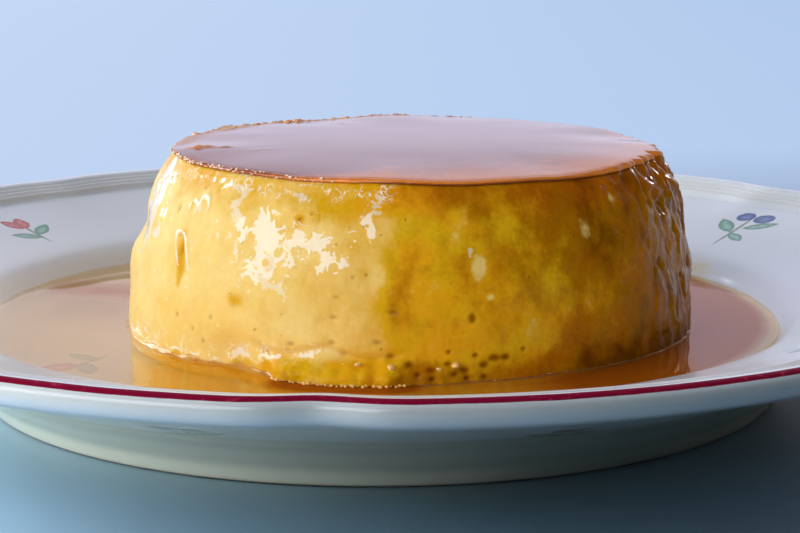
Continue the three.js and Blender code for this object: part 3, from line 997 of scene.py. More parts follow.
class Tools:
    """Geometry trees for what repeats or follows a path, each built once."""

    @cached_property
    def turned_plate(self) -> Tree:
        """Carries a section round the axis and draws its rim in at even notches."""
        inputs = {"Section": GEOMETRY, "Rows": 2, "Steps": 8, "Lobes": 8, "First Notch": 0.0, "Depth": 0.0,
                  "Dip": 0.0, "Spread": 1.0, "Fades At": 0.0, "Full At": 1.0, "Material": FINISH}
        sheet = Group("turned_plate", GEOMETRY_TREE, inputs, {"Geometry": GEOMETRY})
        given = sheet.given
        across = sheet.out("FunctionNodeIntegerMath", {0: given["Steps"], 1: 1}, operation="ADD")
        solid = sheet.out("GeometryNodeMeshGrid", {"Vertices X": given["Rows"], "Vertices Y": across}, "Mesh")
        index = sheet.out("GeometryNodeInputIndex")
        row = sheet.math("FLOOR", sheet.over(index, across))
        column = sheet.less(index, sheet.times(row, across))
        turn = sheet.times(sheet.over(column, given["Steps"]), math.tau)
        place = sheet.out("GeometryNodeInputPosition")
        wires = {"Geometry": given["Section"], "Value": place, "Index": row}
        sampled = sheet.out("GeometryNodeSampleIndex", wires, "Value", data_type="FLOAT_VECTOR")
        parts = sheet.split(sampled)
        lobe = sheet.over(math.tau, given["Lobes"])
        half = sheet.times(lobe, 0.5)
        off = sheet.math("WRAP", sheet.less(turn, given["First Notch"]), half, sheet.times(half, -1.0))
        away = sheet.over(off, given["Spread"])
        bell = sheet.math("EXPONENT", sheet.times(sheet.times(away, away), -1.0))
        notch = sheet.times(bell, sheet.eased(parts[0], given["Fades At"], given["Full At"]))
        reach = sheet.less(parts[0], sheet.times(notch, given["Depth"]))
        level = sheet.less(parts[2], sheet.times(notch, given["Dip"]))
        x, y = sheet.polar(reach, turn)
        spot = sheet.out("ShaderNodeCombineXYZ", {"X": x, "Y": y, "Z": level})
        for name in ("section", "thin"):
            stored = sheet.out("GeometryNodeInputNamedAttribute", {"Name": name}, data_type="FLOAT")
            wires = {"Geometry": given["Section"], "Value": stored, "Index": row}
            value = sheet.out("GeometryNodeSampleIndex", wires, "Value", data_type="FLOAT")
            wires = {"Geometry": solid, "Name": name, "Value": value}
            solid = sheet.out("GeometryNodeStoreNamedAttribute", wires, data_type="FLOAT", domain="POINT")
        solid = sheet.out("GeometryNodeSetPosition", {"Geometry": solid, "Position": spot})
        solid = sheet.out("GeometryNodeMergeByDistance", {"Geometry": solid, "Distance": SAME_PLACE})
        return sheet.close(solid)

    @cached_property
    def lumps_on_path(self) -> Tree:
        """Small lumps scattered along a path, each with its own size, turn and shape."""
        inputs = {"Path": GEOMETRY, "Count": 20, "Share": 0.8, "Smallest": 0.3, "Largest": 1.0,
                  "Flatness": 0.6, "Scatter": (0.0, 0.0, 0.0), "Roughness": 0.2, "Detail": 2, "Seed": 1,
                  "Material": FINISH}
        sheet = Group("lumps_on_path", GEOMETRY_TREE, inputs, {"Geometry": GEOMETRY})
        given = sheet.given
        path = sheet.out("GeometryNodeMeshToCurve", {"Mesh": given["Path"]})
        path = sheet.out("GeometryNodeResampleCurve", {"Curve": path, "Count": given["Count"]})
        spots = sheet.out("GeometryNodeCurveToPoints", {"Curve": path, "Count": given["Count"]}, "Points")
        kept = sheet.random("BOOLEAN", given["Seed"], Probability=given["Share"])
        dropped = sheet.out("FunctionNodeBooleanMath", {0: kept}, operation="NOT")
        wires = {"Geometry": spots, "Selection": dropped}
        spots = sheet.out("GeometryNodeDeleteGeometry", wires, domain="POINT")
        back = sheet.vector("SCALE", given["Scatter"], Scale=-1.0)
        shift = sheet.random("FLOAT_VECTOR", sheet.plus(given["Seed"], 11), Min=back, Max=given["Scatter"])
        spots = sheet.out("GeometryNodeSetPosition", {"Geometry": spots, "Offset": shift})
        ball = sheet.out("GeometryNodeMeshIcoSphere", {"Radius": MM, "Subdivisions": given["Detail"]}, "Mesh")
        chance = sheet.random("FLOAT", sheet.plus(given["Seed"], 23), Min=0.0, Max=1.0)
        wires = {"Factor": sheet.times(chance, chance), "A": given["Smallest"], "B": given["Largest"]}
        size = sheet.out("ShaderNodeMix", wires, "Result")
        stretch = sheet.random("FLOAT", sheet.plus(given["Seed"], 31), Min=0.8, Max=1.45)
        wires = {"X": sheet.times(size, stretch), "Y": size, "Z": sheet.times(size, given["Flatness"])}
        shape = sheet.out("ShaderNodeCombineXYZ", wires)
        limits = {"Min": (-0.3, -0.3, 0.0), "Max": (0.3, 0.3, math.tau)}
        turn = sheet.random("FLOAT_VECTOR", sheet.plus(given["Seed"], 47), **limits)
        wires = {"Points": spots, "Instance": ball, "Rotation": turn, "Scale": shape}
        solid = sheet.out("GeometryNodeInstanceOnPoints", wires)
        solid = sheet.out("GeometryNodeRealizeInstances", {"Geometry": solid})
        wires = {"Vector": sheet.out("GeometryNodeInputPosition"), "Scale": 1300.0, "Detail": 2.0,
                 "Roughness": 0.6}
        uneven = sheet.less(sheet.out("ShaderNodeTexNoise", wires), 0.5)
        rise = sheet.times(sheet.times(uneven, given["Roughness"]), 2 * MM)
        push = sheet.vector("SCALE", sheet.out("GeometryNodeInputNormal"), Scale=rise)
        solid = sheet.out("GeometryNodeSetPosition", {"Geometry": solid, "Offset": push})
        return sheet.close(solid)


TOOLS = Tools()


def grown(name: str, tree: Tree, start: Mesh, settings: dict[str, object]) -> Mesh:
    """Runs a geometry tool on a starting mesh and keeps the result as a plain mesh.

    Args:
        name: The name of the new mesh.
        tree: The tool.
        start: A section, a path or points.
        settings: The tool's named inputs.

    Returns:
        The finished mesh.
    """
    holder = bpy.data.objects.new(name + "_start", start)
    show(holder)
    modifier = holder.modifiers.new("tool", "NODES")
    modifier.node_group = tree
    names = {item.name: item.identifier for item in tree.interface.items_tree if item.in_out == "INPUT"}
    for key, value in settings.items():
        modifier[names[key]] = value
    graph = bpy.context.evaluated_depsgraph_get()
    made = bpy.data.meshes.new_from_object(holder.evaluated_get(graph), preserve_all_data_layers=True,
                                           depsgraph=graph)
    made.name = name
    bpy.data.objects.remove(holder)
    return made


# ---- plate


# The wall of the well, from the edge of its floor outwards, as radius and height.
WELL_WALL = ((79.0, 11.3), (81.5, 11.6), (83.7, 12.2), (85.4, 13.1), (86.9, 14.3), (88.6, 16.0))


@dataclass
class Plate:
    """The dinner plate: foot ring, rounded lip, fine relief lines, flange and well, with a lobed edge."""

    radius: float = 135.0
    height: float = 28.8
    lip_thickness: float = 5.2
    lip_width: float = 5.0
    rib_count: int = 3
    rib_pitch: float = 2.3
    rib_rise: float = 0.32
    rib_fall: float = 0.5
    cove_drop: float = 1.5
    cove_width: float = 1.4
    lobes: int = 8
    first_notch: float = 41.0
    notch_depth: float = 2.0
    notch_dip: float = -0.05
    notch_spread: float = 3.4
    notch_full_from: float = 4.0
    notch_reach: float = 32.0
    well_floor: float = 11.3
    steps: int = 496
    glaze: PlateGlaze = field(default_factory=PlateGlaze)

    def underside(self) -> list[tuple[float, float]]:
        """From the middle of the underside, over the foot ring to the underside of the flange."""
        return [(0.0, 6.2), (40.0, 6.2), (72.0, 6.2), (76.0, 6.05), (79.3, 2.3), (81.4, 0.25), (82.4, 0.0),
                (84.6, 0.0), (85.7, 0.3), (86.4, 1.4), (87.5, 3.4), (90.2, 5.9), (93.6, 8.7), (98.6, 11.5),
                (105.0, 14.0), (112.0, 16.6), (120.0, 19.4), (125.5, 21.2)]

    def lip(self) -> list[tuple[float, float]]:
        """The rounded lip, from its foot on the underside round the edge and over the top."""
        outline = [(1.2, 1.27), (0.48, 1.0), (0.2, 0.83), (0.06, 0.64), (0.0, 0.42), (0.05, 0.24),
                   (0.22, 0.09), (0.38, 0.03), (0.55, 0.0), (0.78, 0.02), (1.0, 0.08)]
        return [(self.radius - inward * self.lip_width, self.height - down * self.lip_thickness)
                for inward, down in outline]

    def ribs(self, start: tuple[float, float]) -> list[tuple[float, float]]:
        """The fine relief lines inside the lip, stepping down towards the flange."""
        made = []
        for rib in range(self.rib_count):
            outer = start[0] - rib * self.rib_pitch
            level = start[1] - (rib + 1) * self.rib_fall
            made.append((outer - 0.35 * self.rib_pitch, level - self.rib_rise / 2))
            made.append((outer - 0.8 * self.rib_pitch, level + self.rib_rise / 2))
        return made

    def well(self, start: tuple[float, float]) -> list[tuple[float, float]]:
        """The cove, the flange, its soft shoulder, the well's wall and floor."""
        r, h = start
        cove = [(r - inward * self.cove_width, h - down * self.cove_drop)
                for inward, down in ((0.45, 0.42), (1.0, 1.0), (2.0, 1.24))]
        floor = [(radius, self.well_floor) for radius in (70.0, 40.0, 0.0)]
        return [*cove, (112.0, 23.05), (100.0, 20.15), (93.5, 18.55), (91.0, 17.65), *WELL_WALL[::-1], *floor]

    def section(self) -> tuple[Array, Array, Array]:
        """The whole section as a smooth line.

        Returns:
            Its points as radius and height; for each point how far along the surface it is from the lip's
            outer end, in towards the well; and how thin the glaze lies, from 0 to 1.
        """
        lip = self.lip()
        ribs = self.ribs(lip[-1])
        corners = np.array([*self.underside(), *lip, *ribs, *self.well(ribs[-1])])
        line = smooth_line(corners, fine=0.5, coarse=7.0)
        along = np.concatenate([[0.0], np.cumsum(np.linalg.norm(np.diff(line, axis=0), axis=1))])
        outermost = int(np.argmax(line[:, 0]))
        along -= along[outermost]
        on_ribs = (line[:, 0] > ribs[-1][0] - 0.4) & (line[:, 0] < lip[-1][0] - 0.2) & (along > 0)
        past_crest = line[:, 0] - (lip[-1][0] - 0.8 * self.rib_pitch)
        crest = 0.5 + 0.5 * np.cos(past_crest / self.rib_pitch * math.tau)
        thin = np.where(on_ribs, 0.8 * crest, 0.0)
        thin = np.maximum(thin, 0.7 * hump(along - 0.4, 1.4))
        return line, along, thin

    def build(self) -> Piece:
        """Builds the plate with the turning tool and glazes it."""
        line, along, thin = self.section()
        points = np.column_stack([line[:, 0], np.zeros(len(line)), line[:, 1]])
        finish = self.glaze.material()
        start = new_mesh("plate_section", points, fields={"section": along, "thin": thin})
        mesh = grown("plate_glazed", TOOLS.turned_plate, start, {
            "Rows": len(points), "Steps": self.steps, "Lobes": self.lobes,
            "First Notch": math.radians(self.first_notch), "Spread": math.radians(self.notch_spread),
            "Depth": self.notch_depth * MM, "Dip": self.notch_dip * MM,
            "Fades At": (self.radius - self.notch_reach) * MM,
            "Full At": (self.radius - self.notch_full_from) * MM, "Material": finish})
        return new_piece("plate_glazed", mesh, [finish], "plate", stands_for=True)


def smooth_line(corners: Array, fine: float, coarse: float) -> Array:
    """A smooth line through the corners of a section, with close points where it bends and few elsewhere.

    Args:
        corners: The corners, n by 2.
        fine: The distance between points where the line bends.
        coarse: The largest distance between points on a straight run.

    Returns:
        The points of the line.
    """
    made = [corners[0]]
    padded = np.vstack([2 * corners[0] - corners[1], corners, 2 * corners[-1] - corners[-2]])
    for index in range(1, len(padded) - 2):
        before, start, end, after = padded[index - 1:index + 3]
        span = np.linalg.norm(end - start)
        bend = turning(before, start, end) + turning(start, end, after)
        step = np.clip(fine / max(bend, 1e-3) ** 0.7, fine, coarse)
        count = max(1, int(np.ceil(span / step)))
        for share in np.arange(1, count + 1) / count:
            made.append(centripetal(before, start, end, after, share))
    return np.maximum(np.array(made), 0.0)


def turning(before: Array, middle: Array, after: Array) -> float:
    """How sharply a line turns at its middle point, in radians."""
    first, second = middle - before, after - middle
    cross = first[0] * second[1] - first[1] * second[0]
    return abs(math.atan2(cross, float(first @ second)))


def centripetal(before: Array, start: Array, end: Array, after: Array, share: float) -> Array:
    """A point of a centripetal spline between start and end, which never loops."""
    points = [before, start, end, after]
    gaps = [max(np.linalg.norm(b - a), 1e-6) ** 0.5 for a, b in itertools.pairwise(points)]
    knots = np.cumsum([0.0, *gaps])
    t = knots[1] + share * (knots[2] - knots[1])
    for spans in (((0, 1), (1, 2), (2, 3)), ((0, 2), (1, 3)), ((1, 2),)):
        points = [((knots[high] - t) * first + (t - knots[low]) * second) / (knots[high] - knots[low])
                  for (low, high), (first, second) in zip(spans, itertools.pairwise(points))]
    return points[0]


# ---- the flan's shape


@dataclass(frozen=True)
class Spot:
    """A feature on the custard's side: where it is, how wide and high it reaches, and how strong it is."""

    direction: float
    height: float
    half_width: float
    half_height: float
    strength: float = 1.0
    tilt: float = 0.0

    def share(self, direction: Array, height: Array) -> Array:
        """How much of the spot there is at each place, a soft hump from 0 to its strength."""
        across = arc(direction, self.direction)
        up = height - self.height
        cosine, sine = math.cos(math.radians(self.tilt)), math.sin(math.radians(self.tilt))
        along, side = across * cosine + up * sine, up * cosine - across * sine
        return self.strength * oval_hump(along, side, self.half_width, self.half_height)


def gathered(spots: Sequence[Spot], direction: Array, height: Array) -> Array:
    """How much of all the spots together there is at each place."""
    return sum(spot.share(direction, height) for spot in spots)


@dataclass(frozen=True)
class FlanForm:
    """The driving sizes of the flan, and the broad shape that the custard, the cap and the syrup follow."""

    centre_x: float = 7.4
    centre_y: float = -3.1
    base_radius: float = 60.6
    top_radius: float = 52.9
    bulge: float = 2.1
    top: float = 51.6
    level: float = 14.3
    lean: float = 1.1
    foot_from: float = 0.72
    cap_bottom: float = 50.0
    overrun: float = 0.2
    rounding: float = 0.9
    wet_side: Sector = (-27.0, 34.0, 15.0)
    wet_back: Sector = (50.0, 96.0, 26.0)
    overrun_side: Sector = (-34.0, 18.0, 22.0)
    lumpy_skirt: Sector = (-116.0, -84.0, 6.0)
    ripples: tuple[tuple[float, int, float], ...] = ((0.28, 3, 0.6), (0.2, 5, 2.1), (0.12, 9, 0.0))
    swells: tuple[tuple[float, int, float], ...] = ((0.2, 2, 2.2), (0.16, 7, 1.0), (0.12, 11, 0.0))
    rim_rises: tuple[tuple[float, float, float], ...] = (
        (1.15, -148.0, 42.0), (-0.5, 122.0, 26.0), (0.45, -90.0, 14.0), (0.8, -30.0, 28.0),
        (-0.65, -53.0, 15.0))
    folds: tuple[tuple[float, float, float], ...] = ((-2.6, -127.0, 9.0), (1.1, -106.0, 11.0))
    dents: tuple[Spot, ...] = (Spot(-172, 29.5, 8, 4.5, 1.1), Spot(-174, 36.8, 9, 2.8, -1.3))
    settling: Lumps = Lumps(3)
    waves: Lumps = Lumps(7)
    drapes: Lumps = Lumps(12)

    def place(self, radius: Array, height: Array, direction: Array) -> Array:
        """Places from a distance to the flan's axis, a height and a direction."""
        turn = np.radians(direction)
        return np.column_stack([self.centre_x + radius * np.cos(turn), self.centre_y + radius * np.sin(turn),
                                np.broadcast_to(height, np.shape(radius))])

    def from_plate_axis(self, radius: Array, direction: Array) -> Array:
        """How far places at a distance and a direction from the flan's axis are from the plate's."""
        turn = np.radians(direction)
        return np.hypot(self.centre_x + radius * np.cos(turn), self.centre_y + radius * np.sin(turn))

    @staticmethod
    def wave_sum(waves: Sequence[tuple[float, int, float]], direction: Array) -> Array:
        """The sum of some waves round the axis."""
        turn = np.radians(direction)
        return sum(rise * np.cos(count * turn + phase) for rise, count, phase in waves)

    @staticmethod
    def hump_sum(humps: Sequence[tuple[float, float, float]], direction: Array) -> Array:
        """The sum of some humps, each with its rise, its direction and its spread in degrees."""
        return sum(rise * hump(turn_between(direction, at), spread) for rise, at, spread in humps)

    def plain_radius(self, height: Array, direction: Array) -> Array:
        """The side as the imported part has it."""
        down = np.clip((self.top - height) / (self.top - self.level), 0.0, 1.0)
        side = self.base_radius - (self.base_radius - self.top_radius) * (1.0 - down) ** self.bulge
        settled = -self.lean * np.cos(np.radians(direction)) * down
        folds = eased(down, self.foot_from, 1.0) * self.hump_sum(self.folds, direction)
        return side + settled + self.wave_sum(self.ripples, direction) + folds

    def drape(self, height: Array, direction: Array) -> Array:
        """How much caramel has run down a place, from 0 to 1: most on the right, a little round the back."""
        right = sector(direction, *self.wet_side)
        back = 0.55 * sector(direction, *self.wet_back)
        return np.maximum(right, back) * eased(height, 11.0, 19.0)

    def skirt(self, height: Array, direction: Array) -> Array:
        """The foot of the front, where the custard has slumped out into a small flap under a crease."""
        window = eased(direction, -119.0, -114.0) * eased(direction, -80.0, -95.0)
        flap = 2.4 * window * eased(height, 19.4, 15.6)
        crease = -0.9 * hump(height - 19.6 + 0.9 * np.sin(np.radians(direction) * 21.0), 1.0)
        crease = crease * eased(direction, -124.0, -117.0) * eased(direction, -88.0, -101.0)
        return flap + crease

    def broad_radius(self, height: Array, direction: Array) -> Array:
        """The side with its lumps, folds and runs, but without pores and skin."""
        plain = self.plain_radius(height, direction)
        spots = self.place(plain, height, direction)
        lumps = 0.42 * self.settling.layered(spots, 17.0, 2) + 0.17 * self.waves.at(spots, (6.0, 6.0, 8.0))
        lobes = self.drapes.at(spots, (5.0, 5.0, 7.5))
        small = self.drapes.at(spots + 40.0, (2.4, 2.4, 3.4))
        slits = self.drapes.at(spots + 80.0 + 1.2 * lobes[:, None], (2.8, 2.8, 4.6))
        runs = self.drape(height, direction) * (0.6 * lobes + 0.26 * small - 0.75 * eased(slits, 0.22, 0.5))
        bulge = gathered(self.dents, direction, height)
        bulge = bulge + 0.7 * small * sector(direction, *self.lumpy_skirt) * eased(height, 21.0, 17.0)
        bulge = bulge + 0.9 * self.overflow(direction) * eased(height, 38.0, 46.0) * small
        bulge = bulge - self.rounding * eased(height, 45.5, 51.0)
        return plain + lumps + bulge + runs + self.skirt(height, direction)

    def overflow(self, direction: Array) -> Array:
        """How much the cap runs over its rim, from 0 to 1."""
        return sector(direction, *self.overrun_side)

    def rim_swell(self, direction: Array) -> Array:
        """How much higher or lower than even the rim is."""
        return self.wave_sum(self.swells, direction) + self.hump_sum(self.rim_rises, direction)

    def shoulder(self, direction: Array) -> Array:
        """The height at which the custard's side meets the cap."""
        return self.top + self.rim_swell(direction) - 0.4 - self.overrun * self.overflow(direction)


@dataclass
class Custard:
    """The body of the flan: its side with slumps, pores, runs of caramel and a torn skirt at the foot."""

    form: FlanForm
    finish: CustardFinish = field(default_factory=CustardFinish)
    bottom: float = 11.6
    top: float = 49.7
    squeeze_from: float = 42.0
    front_steps: int = 560
    back_steps: int = 250
    rows: int = 92
    browner_rim: Sector = (-168.0, -140.0, 8.0)
    darker_foot: Sector = (-90.0, 60.0, 8.0)
    skirt_shade: Sector = (-116.0, -88.0, 5.0)
    under_highlight_line: Sector = (-144.0, -112.0, 5.0)
    # Where the painted highlight threads and the ribbon at the foot lie.
    threads: Sector = (-174.0, -98.0, 5.0)
    thinner_threads: Sector = (-162.0, -138.0, 6.0)
    ribbon: Sector = (-164.0, -109.0, 4.0)
    skin: Lumps = Lumps(21)
    tone: Lumps = Lumps(31)
    pores: tuple[Spot, ...] = (
        Spot(-94.7, 19.7, 1.0, 0.7), Spot(-91.4, 18.2, 0.9, 0.7), Spot(-89.8, 16.4, 0.7, 0.6),
        Spot(-87.4, 17.2, 1.0, 0.7), Spot(-87.2, 15.5, 0.6, 0.5), Spot(-81.1, 16.8, 1.0, 0.7),
        Spot(-80.6, 15.2, 0.6, 0.6), Spot(-77.4, 17.6, 0.9, 0.7), Spot(-77.3, 15.3, 0.7, 0.7),
        Spot(-75.4, 18.9, 1.1, 0.8), Spot(-73.1, 18.9, 0.9, 0.7), Spot(-84.2, 18.2, 0.7, 0.5),
        Spot(-83.0, 16.2, 0.6, 0.5), Spot(-79.0, 19.6, 0.6, 0.5), Spot(-118.9, 18.6, 1.1, 0.9),
        Spot(-113.5, 21.2, 1.1, 0.6), Spot(-105.5, 22.0, 0.9, 0.6), Spot(-97.1, 22.4, 1.2, 0.6),
        Spot(-103.4, 19.8, 0.9, 0.6), Spot(-141.8, 23.1, 0.6, 0.6), Spot(-132.0, 24.1, 0.6, 0.5),
        Spot(-105.4, 26.9, 0.9, 0.5), Spot(-105.0, 30.7, 0.7, 0.4), Spot(-94.4, 28.2, 1.3, 0.4),
        Spot(-134.5, 18.8, 0.5, 0.5), Spot(-137.0, 21.0, 0.4, 0.5), Spot(-79.5, 26.9, 0.7, 1.0),
        Spot(-109.6, 45.2, 0.3, 1.1, 0.7), Spot(-84.0, 20.5, 0.5, 0.4), Spot(-69.5, 20.2, 0.5, 0.4),
        Spot(-148.0, 43.5, 0.5, 0.9))
    curds: tuple[Spot, ...] = (
        Spot(-77.7, 36.5, 1.8, 2.8), Spot(-53.2, 42.0, 1.9, 2.2, 0.6), Spot(-44.0, 47.0, 1.3, 2.0, 0.6),
        Spot(-75.8, 30.6, 1.2, 0.8, 0.8), Spot(-68.7, 26.8, 1.1, 0.9, 0.35),
        Spot(-81.5, 43.5, 1.6, 5.0, 0.45, -24.0), Spot(-88.5, 32.0, 4.0, 4.0, 0.35),
        Spot(-109.0, 43.0, 3.5, 2.0, 0.5))
    blotches: tuple[Spot, ...] = (
        Spot(-126.5, 28.4, 2.2, 1.5, 0.33), Spot(-142.6, 31.0, 0.9, 2.6, 0.5),
        Spot(-113.9, 44.9, 0.9, 0.7, 0.55), Spot(-143.6, 36.0, 0.8, 3.6, 0.5),
        Spot(-105.0, 46.0, 5.0, 2.2, 0.22), Spot(-132.0, 45.5, 6.0, 2.5, 0.14))
    # The veil on the left edge and the film patches carry the wet coat and a painted highlight.
    veil: Spot = Spot(-162.0, 43.5, 4.6, 8.5, 1.7)
    film_patches: tuple[Spot, ...] = (
        Spot(-129.5, 44.8, 2.3, 5.5, 0.75, 16.0), Spot(-122.5, 42.0, 6.0, 3.0, 0.7, -32.0),
        Spot(-119.0, 37.5, 4.2, 5.5, 0.85, 20.0), Spot(-124.5, 36.5, 3.0, 4.0, 0.5),
        Spot(-111.5, 40.5, 5.6, 2.4, 0.95, -18.0), Spot(-106.3, 36.6, 3.6, 1.5, 0.8, 22.0),
        Spot(-97.6, 48.6, 1.5, 4.4, 0.95, -24.0), Spot(-99.2, 44.0, 1.1, 2.8, 0.9, 26.0),
        Spot(-102.6, 41.6, 1.0, 1.8, 0.7, 12.0), Spot(-112.0, 48.0, 3.5, 1.0, 0.55, -20.0),
        Spot(-128.0, 49.4, 7.0, 0.9, 0.6), Spot(-141.0, 49.6, 9.0, 1.1, 0.3),
        Spot(-114.0, 49.2, 9.0, 0.7, 0.45), Spot(-156.0, 39.0, 2.2, 4.0, 0.9, -16.0),
        Spot(-118.5, 22.5, 1.0, 2.0, 0.7), Spot(-133.0, 40.0, 3.0, 2.2, 0.45),
        Spot(-122.0, 32.8, 2.4, 2.6, 0.7, 30.0), Spot(-79.6, 39.4, 0.5, 1.1, 1.1, 20.0),
        Spot(-116.0, 30.5, 1.6, 2.4, 0.5))

    def directions(self) -> Array:
        """Directions round the flan, closer together at the front than at the back."""
        front = -180.0 + np.arange(self.front_steps) * (180.0 / self.front_steps)
        back = np.arange(self.back_steps) * (180.0 / self.back_steps)
        return np.concatenate([front, back])

    @staticmethod
    def slot(direction: Array, height: Array) -> tuple[Array, Array]:
        """The open drip on the left and the small loops above it.

        Returns:
            The hollow's share and its raised rims' share at each place.
        """
        across = arc(direction, -143.2 - 0.5 * (height - 35.5))
        hollow = hump(across, 0.8) * eased(height, 29.8, 32.0) * eased(height, 39.4, 38.4)
        arch = np.hypot(across, np.maximum(height - 37.4, 0.0) * 0.9)
        rims = hump(arch - 1.7, 0.36) * eased(height, 30.5, 34.0) * eased(height, 41.5, 39.5)
        for at, up, size in ((-143.0, 44.2, 1.2), (-139.6, 45.0, 1.5)):
            off = np.hypot(arc(direction, at, 56.0), (height - up) * 0.8)
            rims = np.maximum(rims, hump(off - size, 0.34) * eased(height, up - 1.6, up + 0.2))
        return hollow, rims

    def pitted(self, height: Array, direction: Array) -> Array:
        """How deep in a pore each place is, from 0 to 1."""
        return np.clip(gathered(self.pores, direction, height), 0.0, 1.0)

    @staticmethod
    def highlight_line(direction: Array, fine: Array) -> Array:
        """The height of the line along the foot where a ribbon of painted highlight lies, above the syrup."""
        return 15.9 + 3.4 * eased(direction, -136.0, -106.0) + 1.3 * fine

    def ground(self, height: Array, direction: Array, broad: Array, fine: Array) -> Array:
        """How much caramel has gone in apart from stains, little at the front left and much on the right; the
        rise to the right, at the foot and on the skirt is partly painted shade.

        Args:
            height: Heights of places on the side.
            direction: Their directions.
            broad: Their broad unevenness.
            fine: Their fine unevenness.

        Returns:
            The soaking at each place, from 0.
        """
        loose = eased(height, 36.0, 22.0)
        wavy = direction + 2.2 * fine + 3.0 * broad
        # The step near the front and the rise to the right turn the side away from the light browner: partly
        # caramel, partly painted shade.
        browner = eased(wavy, -98.5 - 5.0 * loose, -93.5 + 5.0 * loose)
        step = 0.2 * eased(direction, -126.0, -99.0) + (0.31 - 0.09 * loose) * browner
        rise = (0.49 + 0.12 * loose) * eased(direction, -74.0, -44.0)
        front = np.where(direction < 0.0, step + rise, 0.0)
        back = np.where(direction >= 0.0, 0.96 - 0.80 * eased(direction, 60.0, 165.0), 0.0)
        # Darker towards the foot on the front and right: partly caramel from the syrup, partly painted shade.
        foot = 0.38 * eased(height, 21.5, 14.0) * sector(direction, *self.darker_foot)
        # Painted shade on the slumped skirt at the front.
        skirt = 0.2 * eased(height, 19.6, 17.6) * sector(direction, *self.skirt_shade)
        line = self.highlight_line(direction, fine)
        under_line = 0.3 * eased(height, line - 0.3, line - 1.6) * sector(direction, *self.under_highlight_line)
        uneven = 0.2 * broad * eased(front + back, 0.1, 0.5)
        return front + back + foot + uneven + skirt + under_line

    def soak_and_shade_of(self, height: Array, direction: Array, broad: Array, fine: Array) -> Array:
        """How much caramel has gone in, with painted shade: the ground, stains from the rim down, blotches
        and pale curds.

        Args:
            height: Heights of places on the side.
            direction: Their directions.
            broad: Their broad unevenness.
            fine: Their fine unevenness.

        Returns:
            The soaking at each place.
        """
        depth = np.where(direction < -100.0, 4.6, 5.2) + 3.0 * broad + 1.6 * fine
        strength = 0.24 + 0.12 * sector(direction, *self.browner_rim) + 0.3 * eased(direction, -96.0, -76.0)
        stain = strength * eased(height, 50.4 - 1.5 * np.maximum(depth, 0.6), 50.8)
        ground = self.ground(height, direction, broad, fine)
        soak = ground + stain * (1.0 - 1.2 * np.clip(ground, 0.0, 0.8))
        soak = soak + gathered(self.blotches, direction, height)
        return soak - 0.35 * gathered(self.curds, direction, height)

    def thread_sheen_at(self, height: Array, direction: Array, fine: Array) -> Array:
        """Where painted highlights lie: threads under the rim, and a ribbon along the line at the foot."""
        rim = sector(direction, *self.threads) - 0.6 * sector(direction, *self.thinner_threads)
        over = height - self.highlight_line(direction, fine)
        ribbon = np.maximum((1.4 + 1.1 * fine) * hump(over, 0.8), 0.95 * hump(over - 1.3, 1.4))
        ribbon = ribbon * sector(direction, *self.ribbon)
        return np.maximum(eased(height, 47.9, 49.3) * rim, ribbon)

    def fields(self, height: Array, direction: Array, spots: Array) -> Fields:
        """What the finish reads.

        Args:
            height: Heights of places on the side.
            direction: Their directions.
            spots: The places themselves.

        Returns:
            The caramel with painted shade, the pores, the pale curds, the wet film, the painted highlight
            threads and the wetness.
        """
        broad = self.tone.layered(spots, (11.0, 11.0, 16.0), 3)
        fine = self.tone.layered(spots + 90.0, 4.0, 3)
        hollow, rims = self.slot(direction, height)
        # The slot's hollow is a little darker: painted shade in the recess.
        soak = self.soak_and_shade_of(height, direction, broad, fine) + 0.12 * hollow
        # pit also sets how strongly the pores get their painted shade, more on the right.
        pit = self.pitted(height, direction) * (0.45 + 0.55 * eased(direction, -100.0, -84.0))
        curd = np.clip(gathered(self.curds, direction, height), 0.0, 1.0) * 0.85
        film = np.clip(gathered(self.film_patches, direction, height), 0.0, 1.0)
        # The veil takes the film too: coat gloss and a painted highlight.
        film = np.maximum(film, self.veil.share(direction, height))
        # The slot's raised rims take the film: coat gloss and a painted highlight.
        film = np.maximum(film - 1.6 * hollow, 1.6 * rims)
        return {"soak": np.clip(soak, 0.0, 1.4), "pit": eased(pit, 0.05, 0.8), "curd": curd, "film": film,
                "frill": self.thread_sheen_at(height, direction, fine), "wet": self.form.drape(height, direction)}

    def build(self) -> Piece:
        """Builds the custard."""
        around = self.directions()
        side = np.linspace(self.bottom + 0.5, self.top - 0.5, self.rows)
        heights = np.concatenate([[self.bottom] * 3, side, [self.top - 0.12], [self.top] * 3])
        shares = np.concatenate([[0.0, 0.6, 0.985], np.ones(self.rows), [0.994, 0.985, 0.6, 0.0]])
        height, direction = (values.ravel() for values in np.meshgrid(heights, around, indexing="ij"))
        share = np.repeat(shares, len(around))
        stretch = np.clip((height - self.squeeze_from) / (self.top - self.squeeze_from), 0.0, 1.0)
        height = height + stretch * (self.form.shoulder(direction) - self.top)
        radius = self.form.broad_radius(np.maximum(height, self.form.level - 1.0), direction)
        spots = self.form.place(radius, height, direction)
        fields = self.fields(height, direction, spots)
        skin = 0.075 + 0.10 * fields["wet"]
        skin = skin * self.skin.layered(spots, (2.4, 2.4, 3.2), 3, 0.55)
        hollow, rims = self.slot(direction, height)
        radius = radius + skin - 0.28 * self.pitted(height, direction) - 0.5 * hollow + 0.4 * rims
        points = self.form.place(radius * share, height, direction)
        mesh = closed_mesh("custard_body", len(heights), points, fields)
        return new_piece("custard_body", mesh, [self.finish.material()], "custard", stands_for=True)


